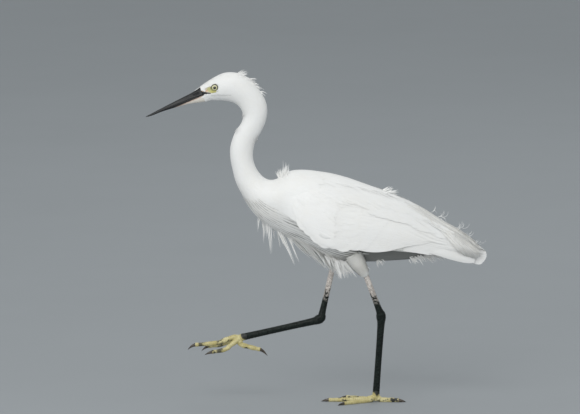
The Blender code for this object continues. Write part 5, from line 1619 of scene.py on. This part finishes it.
def foot_piece(name, start, along, toes, floor, stands_for):
    """Merges palm and toes, then raises the scutes: a saw-tooth along each toe, on its upper side only."""
    knot = start + along * 4.0
    reach = (-3.0, 2.0, 5.0, 7.5) if floor is None else (-3.0, 2.0, 5.5, (start[2] - 1.5) / -along[2])
    palm = tube_points([start + along * r for r in reach], [3.9, 4.6, 4.4, 3.0], 28, 0.95)
    tubes = [toe_tube([knot, *points], share) for _, points, share in toes]
    points, quads, fans = join_grids([palm] + [tube[1] for tube in tubes])
    rough = bpy.data.meshes.new("rough foot")
    rough.from_pydata((points * MM).tolist(), [], quads.tolist() + fans.tolist())
    carrier = bpy.data.objects.new("rough foot", rough)
    bpy.context.scene.collection.objects.link(carrier)
    remesh = carrier.modifiers.new("merge", "REMESH")
    remesh.mode, remesh.voxel_size = "VOXEL", VOXEL * MM
    relax = carrier.modifiers.new("relax", "SMOOTH")
    relax.iterations, relax.factor = 5, 0.5
    graph = bpy.context.evaluated_depsgraph_get()
    merged = bpy.data.meshes.new_from_object(carrier.evaluated_get(graph))
    bpy.data.objects.remove(carrier)
    count = len(merged.vertices)
    places, normals = np.empty(count * 3), np.empty(count * 3)
    merged.vertices.foreach_get("co", places)
    merged.vertices.foreach_get("normal", normals)
    places, normals = places.reshape(-1, 3) / MM, normals.reshape(-1, 3)
    best, along_toe, side_up = np.full(count, 1e9), np.zeros(count), np.zeros(count)
    for path, _ in tubes:
        line = path[::2]
        gaps = np.linalg.norm(places[:, None] - line[None], axis=-1)
        nearest = gaps.argmin(1)
        run = run_along(line)
        closer = gaps.min(1) < best
        best = np.where(closer, gaps.min(1), best)
        ahead = unit(np.gradient(line, axis=0))[nearest]
        exact = run[nearest] + ((places - line[nearest]) * ahead).sum(1)
        along_toe = np.where(closer, exact, along_toe)
        side_up = np.where(closer, normals[:, 2], side_up)
    plate = np.mod(along_toe / SCUTE_STEP, 1.0)
    ridge = (0.22 * (1 - plate) - 0.3 * np.exp(-(plate / 0.12) ** 2)) * smooth((side_up + 0.1) / 0.5)
    places = places + normals * ridge[:, None]
    if floor is not None:
        places[:, 2] = np.maximum(places[:, 2], floor)
    faces = np.empty(len(merged.loops), np.int32)
    merged.loops.foreach_get("vertex_index", faces)
    values = {"run": along_toe, "plate": plate}
    bpy.data.meshes.remove(merged)
    return mesh_piece(name, places, [faces.reshape(-1, 4)], TOE, stands_for, None, values)


def toe_skin(wires, shader):
    """Olive yellow, greener and darker between the scutes, with black patches and, on the lifted toes, two
    ragged bands."""
    mottle = use(wires, MOTTLE, Scale=120.0, From=0.35, To=0.65)["Mask"]
    patches = use(wires, MOTTLE, Scale=62.0, From=0.56, To=0.61)["Mask"]
    reach = wires.here()[0]
    ragged = use(wires, MOTTLE, Scale=170.0, From=0.40, To=0.52)["Mask"]
    for start, end in TOE_BANDS:
        band = wires.times(wires.step(reach, start, start - 0.003), wires.step(reach, end, end + 0.003))
        patches = wires.maths("MAXIMUM", patches, wires.times(wires.times(band, ragged), 0.9))
    scales = use(wires, SCALES, Scale=900.0, Groove=0.2)
    colour = wires.blend(mottle, TOE_OLIVE, TOE_YELLOW)
    groove = wires.step(wires.value("plate"), 0.22, 0.02)
    colour = wires.blend(wires.times(groove, 0.7), colour, TOE_GROOVE)
    colour = wires.blend(patches, colour, TOE_BLACK)
    colour = wires.blend(wires.step(wires.value("run"), 2.0, 0.0), colour, LEG_END)
    rough = wires.maths("MULTIPLY_ADD", mottle, 0.15, 0.38)
    link(wires, shader, Base_Color=colour, Roughness=rough, Normal=wires.relief(scales["Height"], 0.00015))


TOE = material("toe skin", toe_skin, Coat_Weight=0.1, Coat_Roughness=0.3)


def claw_skin(wires, shader):
    """Dark horn, paler along streaks."""
    streaks = use(wires, MOTTLE, Scale=300.0)["Mask"]
    colour = wires.blend(streaks, (0.02, 0.017, 0.014), (0.10, 0.08, 0.06))
    link(wires, shader, Base_Color=colour, Roughness=wires.maths("MULTIPLY_ADD", streaks, 0.2, 0.2))


CLAW = material("claw horn", claw_skin, Coat_Weight=0.2)


for side_name, ankle, foot, toes, floor in (
    ("left", LEFT_ANKLE, LEFT_FOOT, standing_toes(), 0.0), ("right", RIGHT_ANKLE, RIGHT_FOOT, LIFTED, None),
):
    along = unit(foot - ankle)
    length = np.linalg.norm(foot - ankle)
    start = ankle + along * length * 0.93
    foot_piece(f"foot_{side_name}_skin", start, along, toes, floor, (f"foot_{side_name}",))
    for toe_name, points, share in toes:
        node = f"claw_{side_name}_{toe_name}"
        path = spline([start + along * 4.0, *points], np.linspace(0, 3, 13))
        base, ahead = path[-1], unit(path[-1] - path[-3])
        radius = TOE_RADIUS * share * 0.7 * 0.92
        low_corner, high_corner = (np.array(corner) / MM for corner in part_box(node))
        t = np.linspace(0, 1, 26)[:, None]
        end = base + ahead * (CLAW_LENGTH + 0.5)
        droop = max(base[2] - low_corner[2] - 0.2, 0.0) if floor is None else base[2] - 0.35
        spine = base + (end - base) * t - UP * droop * t ** 2 - ahead * 1.0 * (1 - t)
        radii = radius * (1 - t[:, 0] ** 1.6) * 0.95 + 0.08
        claw = tube_points(spine, radii, 20, 0.8)
        if floor is not None:
            claw[..., 2] = np.maximum(claw[..., 2], 0.0)
        closed_piece(f"{node}_horn", claw, CLAW, (node,))

# %% [markdown]
# The studio is plain: a pale floor that runs out of the picture, a wide soft lamp overhead as from a bright
# sky, a broad fill from the front and a weak lamp behind. The camera looks from the bird's left, eight
# degrees down, through a long lens.

# %% Floor, light and camera
FRAME_WIDTH, PIXEL = 580, 1.25
AIM = np.array([-107.5, 0.0, 246.7])
DISTANCE, ELEVATION = 8000.0, math.radians(8)


def plain(name, colour, roughness):
    """A finish with a breath of variation, so that it isn't dead flat."""
    def build(wires, shader):
        mask = use(wires, MOTTLE, Scale=1.5)["Mask"]
        link(wires, shader, Base_Color=wires.blend(mask, colour, tuple(c * 0.97 for c in colour)))
    return material(name, build, Roughness=roughness)


floor_mesh = bpy.data.meshes.new("floor")
floor_mesh.from_pydata([(-14, -14, 0), (14, -14, 0), (14, 14, 0), (-14, 14, 0)], [], [(0, 1, 2, 3)])
floor_piece = bpy.data.objects.new("floor", floor_mesh)
floor_mesh.materials.append(plain("pale floor", (0.33, 0.355, 0.375), 0.8))
bpy.context.scene.collection.objects.link(floor_piece)


def lamp(name, place, target, size, power, colour=(1, 1, 1)):
    """A square soft lamp that faces its target. Place and target are metres."""
    data = bpy.data.lights.new(name, "AREA")
    data.size, data.energy, data.color = size, power, colour
    made = bpy.data.objects.new(name, data)
    made.location = place
    aim = unit(np.array(target, float) - np.array(place, float))
    made.rotation_mode = "QUATERNION"
    made.rotation_quaternion = Vector(aim).to_track_quat("-Z", "Y")
    bpy.context.scene.collection.objects.link(made)
    return made


BIRD = (-0.05, 0.0, 0.25)
lamp("sky", (-0.8, -2.4, 2.4), BIRD, 2.2, 41.0, (1.0, 0.99, 0.97))
lamp("front fill", (-1.5, -4.0, 0.5), BIRD, 2.5, 54.0, (1.0, 0.99, 0.97))
lamp("back rim", (0.6, 2.2, 2.4), BIRD, 1.2, 9.0)

world = bpy.data.worlds.new("studio")
world.use_nodes = True
for label, value in (("Color", (0.86, 0.89, 0.90, 1)), ("Strength", 0.62)):
    world.node_tree.nodes["Background"].inputs[label].default_value = value
bpy.context.scene.world = world

camera_data = bpy.data.cameras.new("camera")
camera_data.sensor_width = 36.0
camera_data.lens = camera_data.sensor_width * DISTANCE / (FRAME_WIDTH * PIXEL)
camera_data.clip_start, camera_data.clip_end = 0.1, 60.0
camera = bpy.data.objects.new("camera", camera_data)
back = np.array([0.0, -math.cos(ELEVATION), math.sin(ELEVATION)])
camera.location = (AIM + back * DISTANCE) * MM
camera.rotation_euler = (math.pi / 2 - ELEVATION, 0, 0)
bpy.context.scene.collection.objects.link(camera)
bpy.context.scene.camera = camera
bpy.context.scene.view_settings.view_transform = "Standard"
print("camera:", round(camera_data.lens), "mm lens at", [round(v, 3) for v in camera.location])
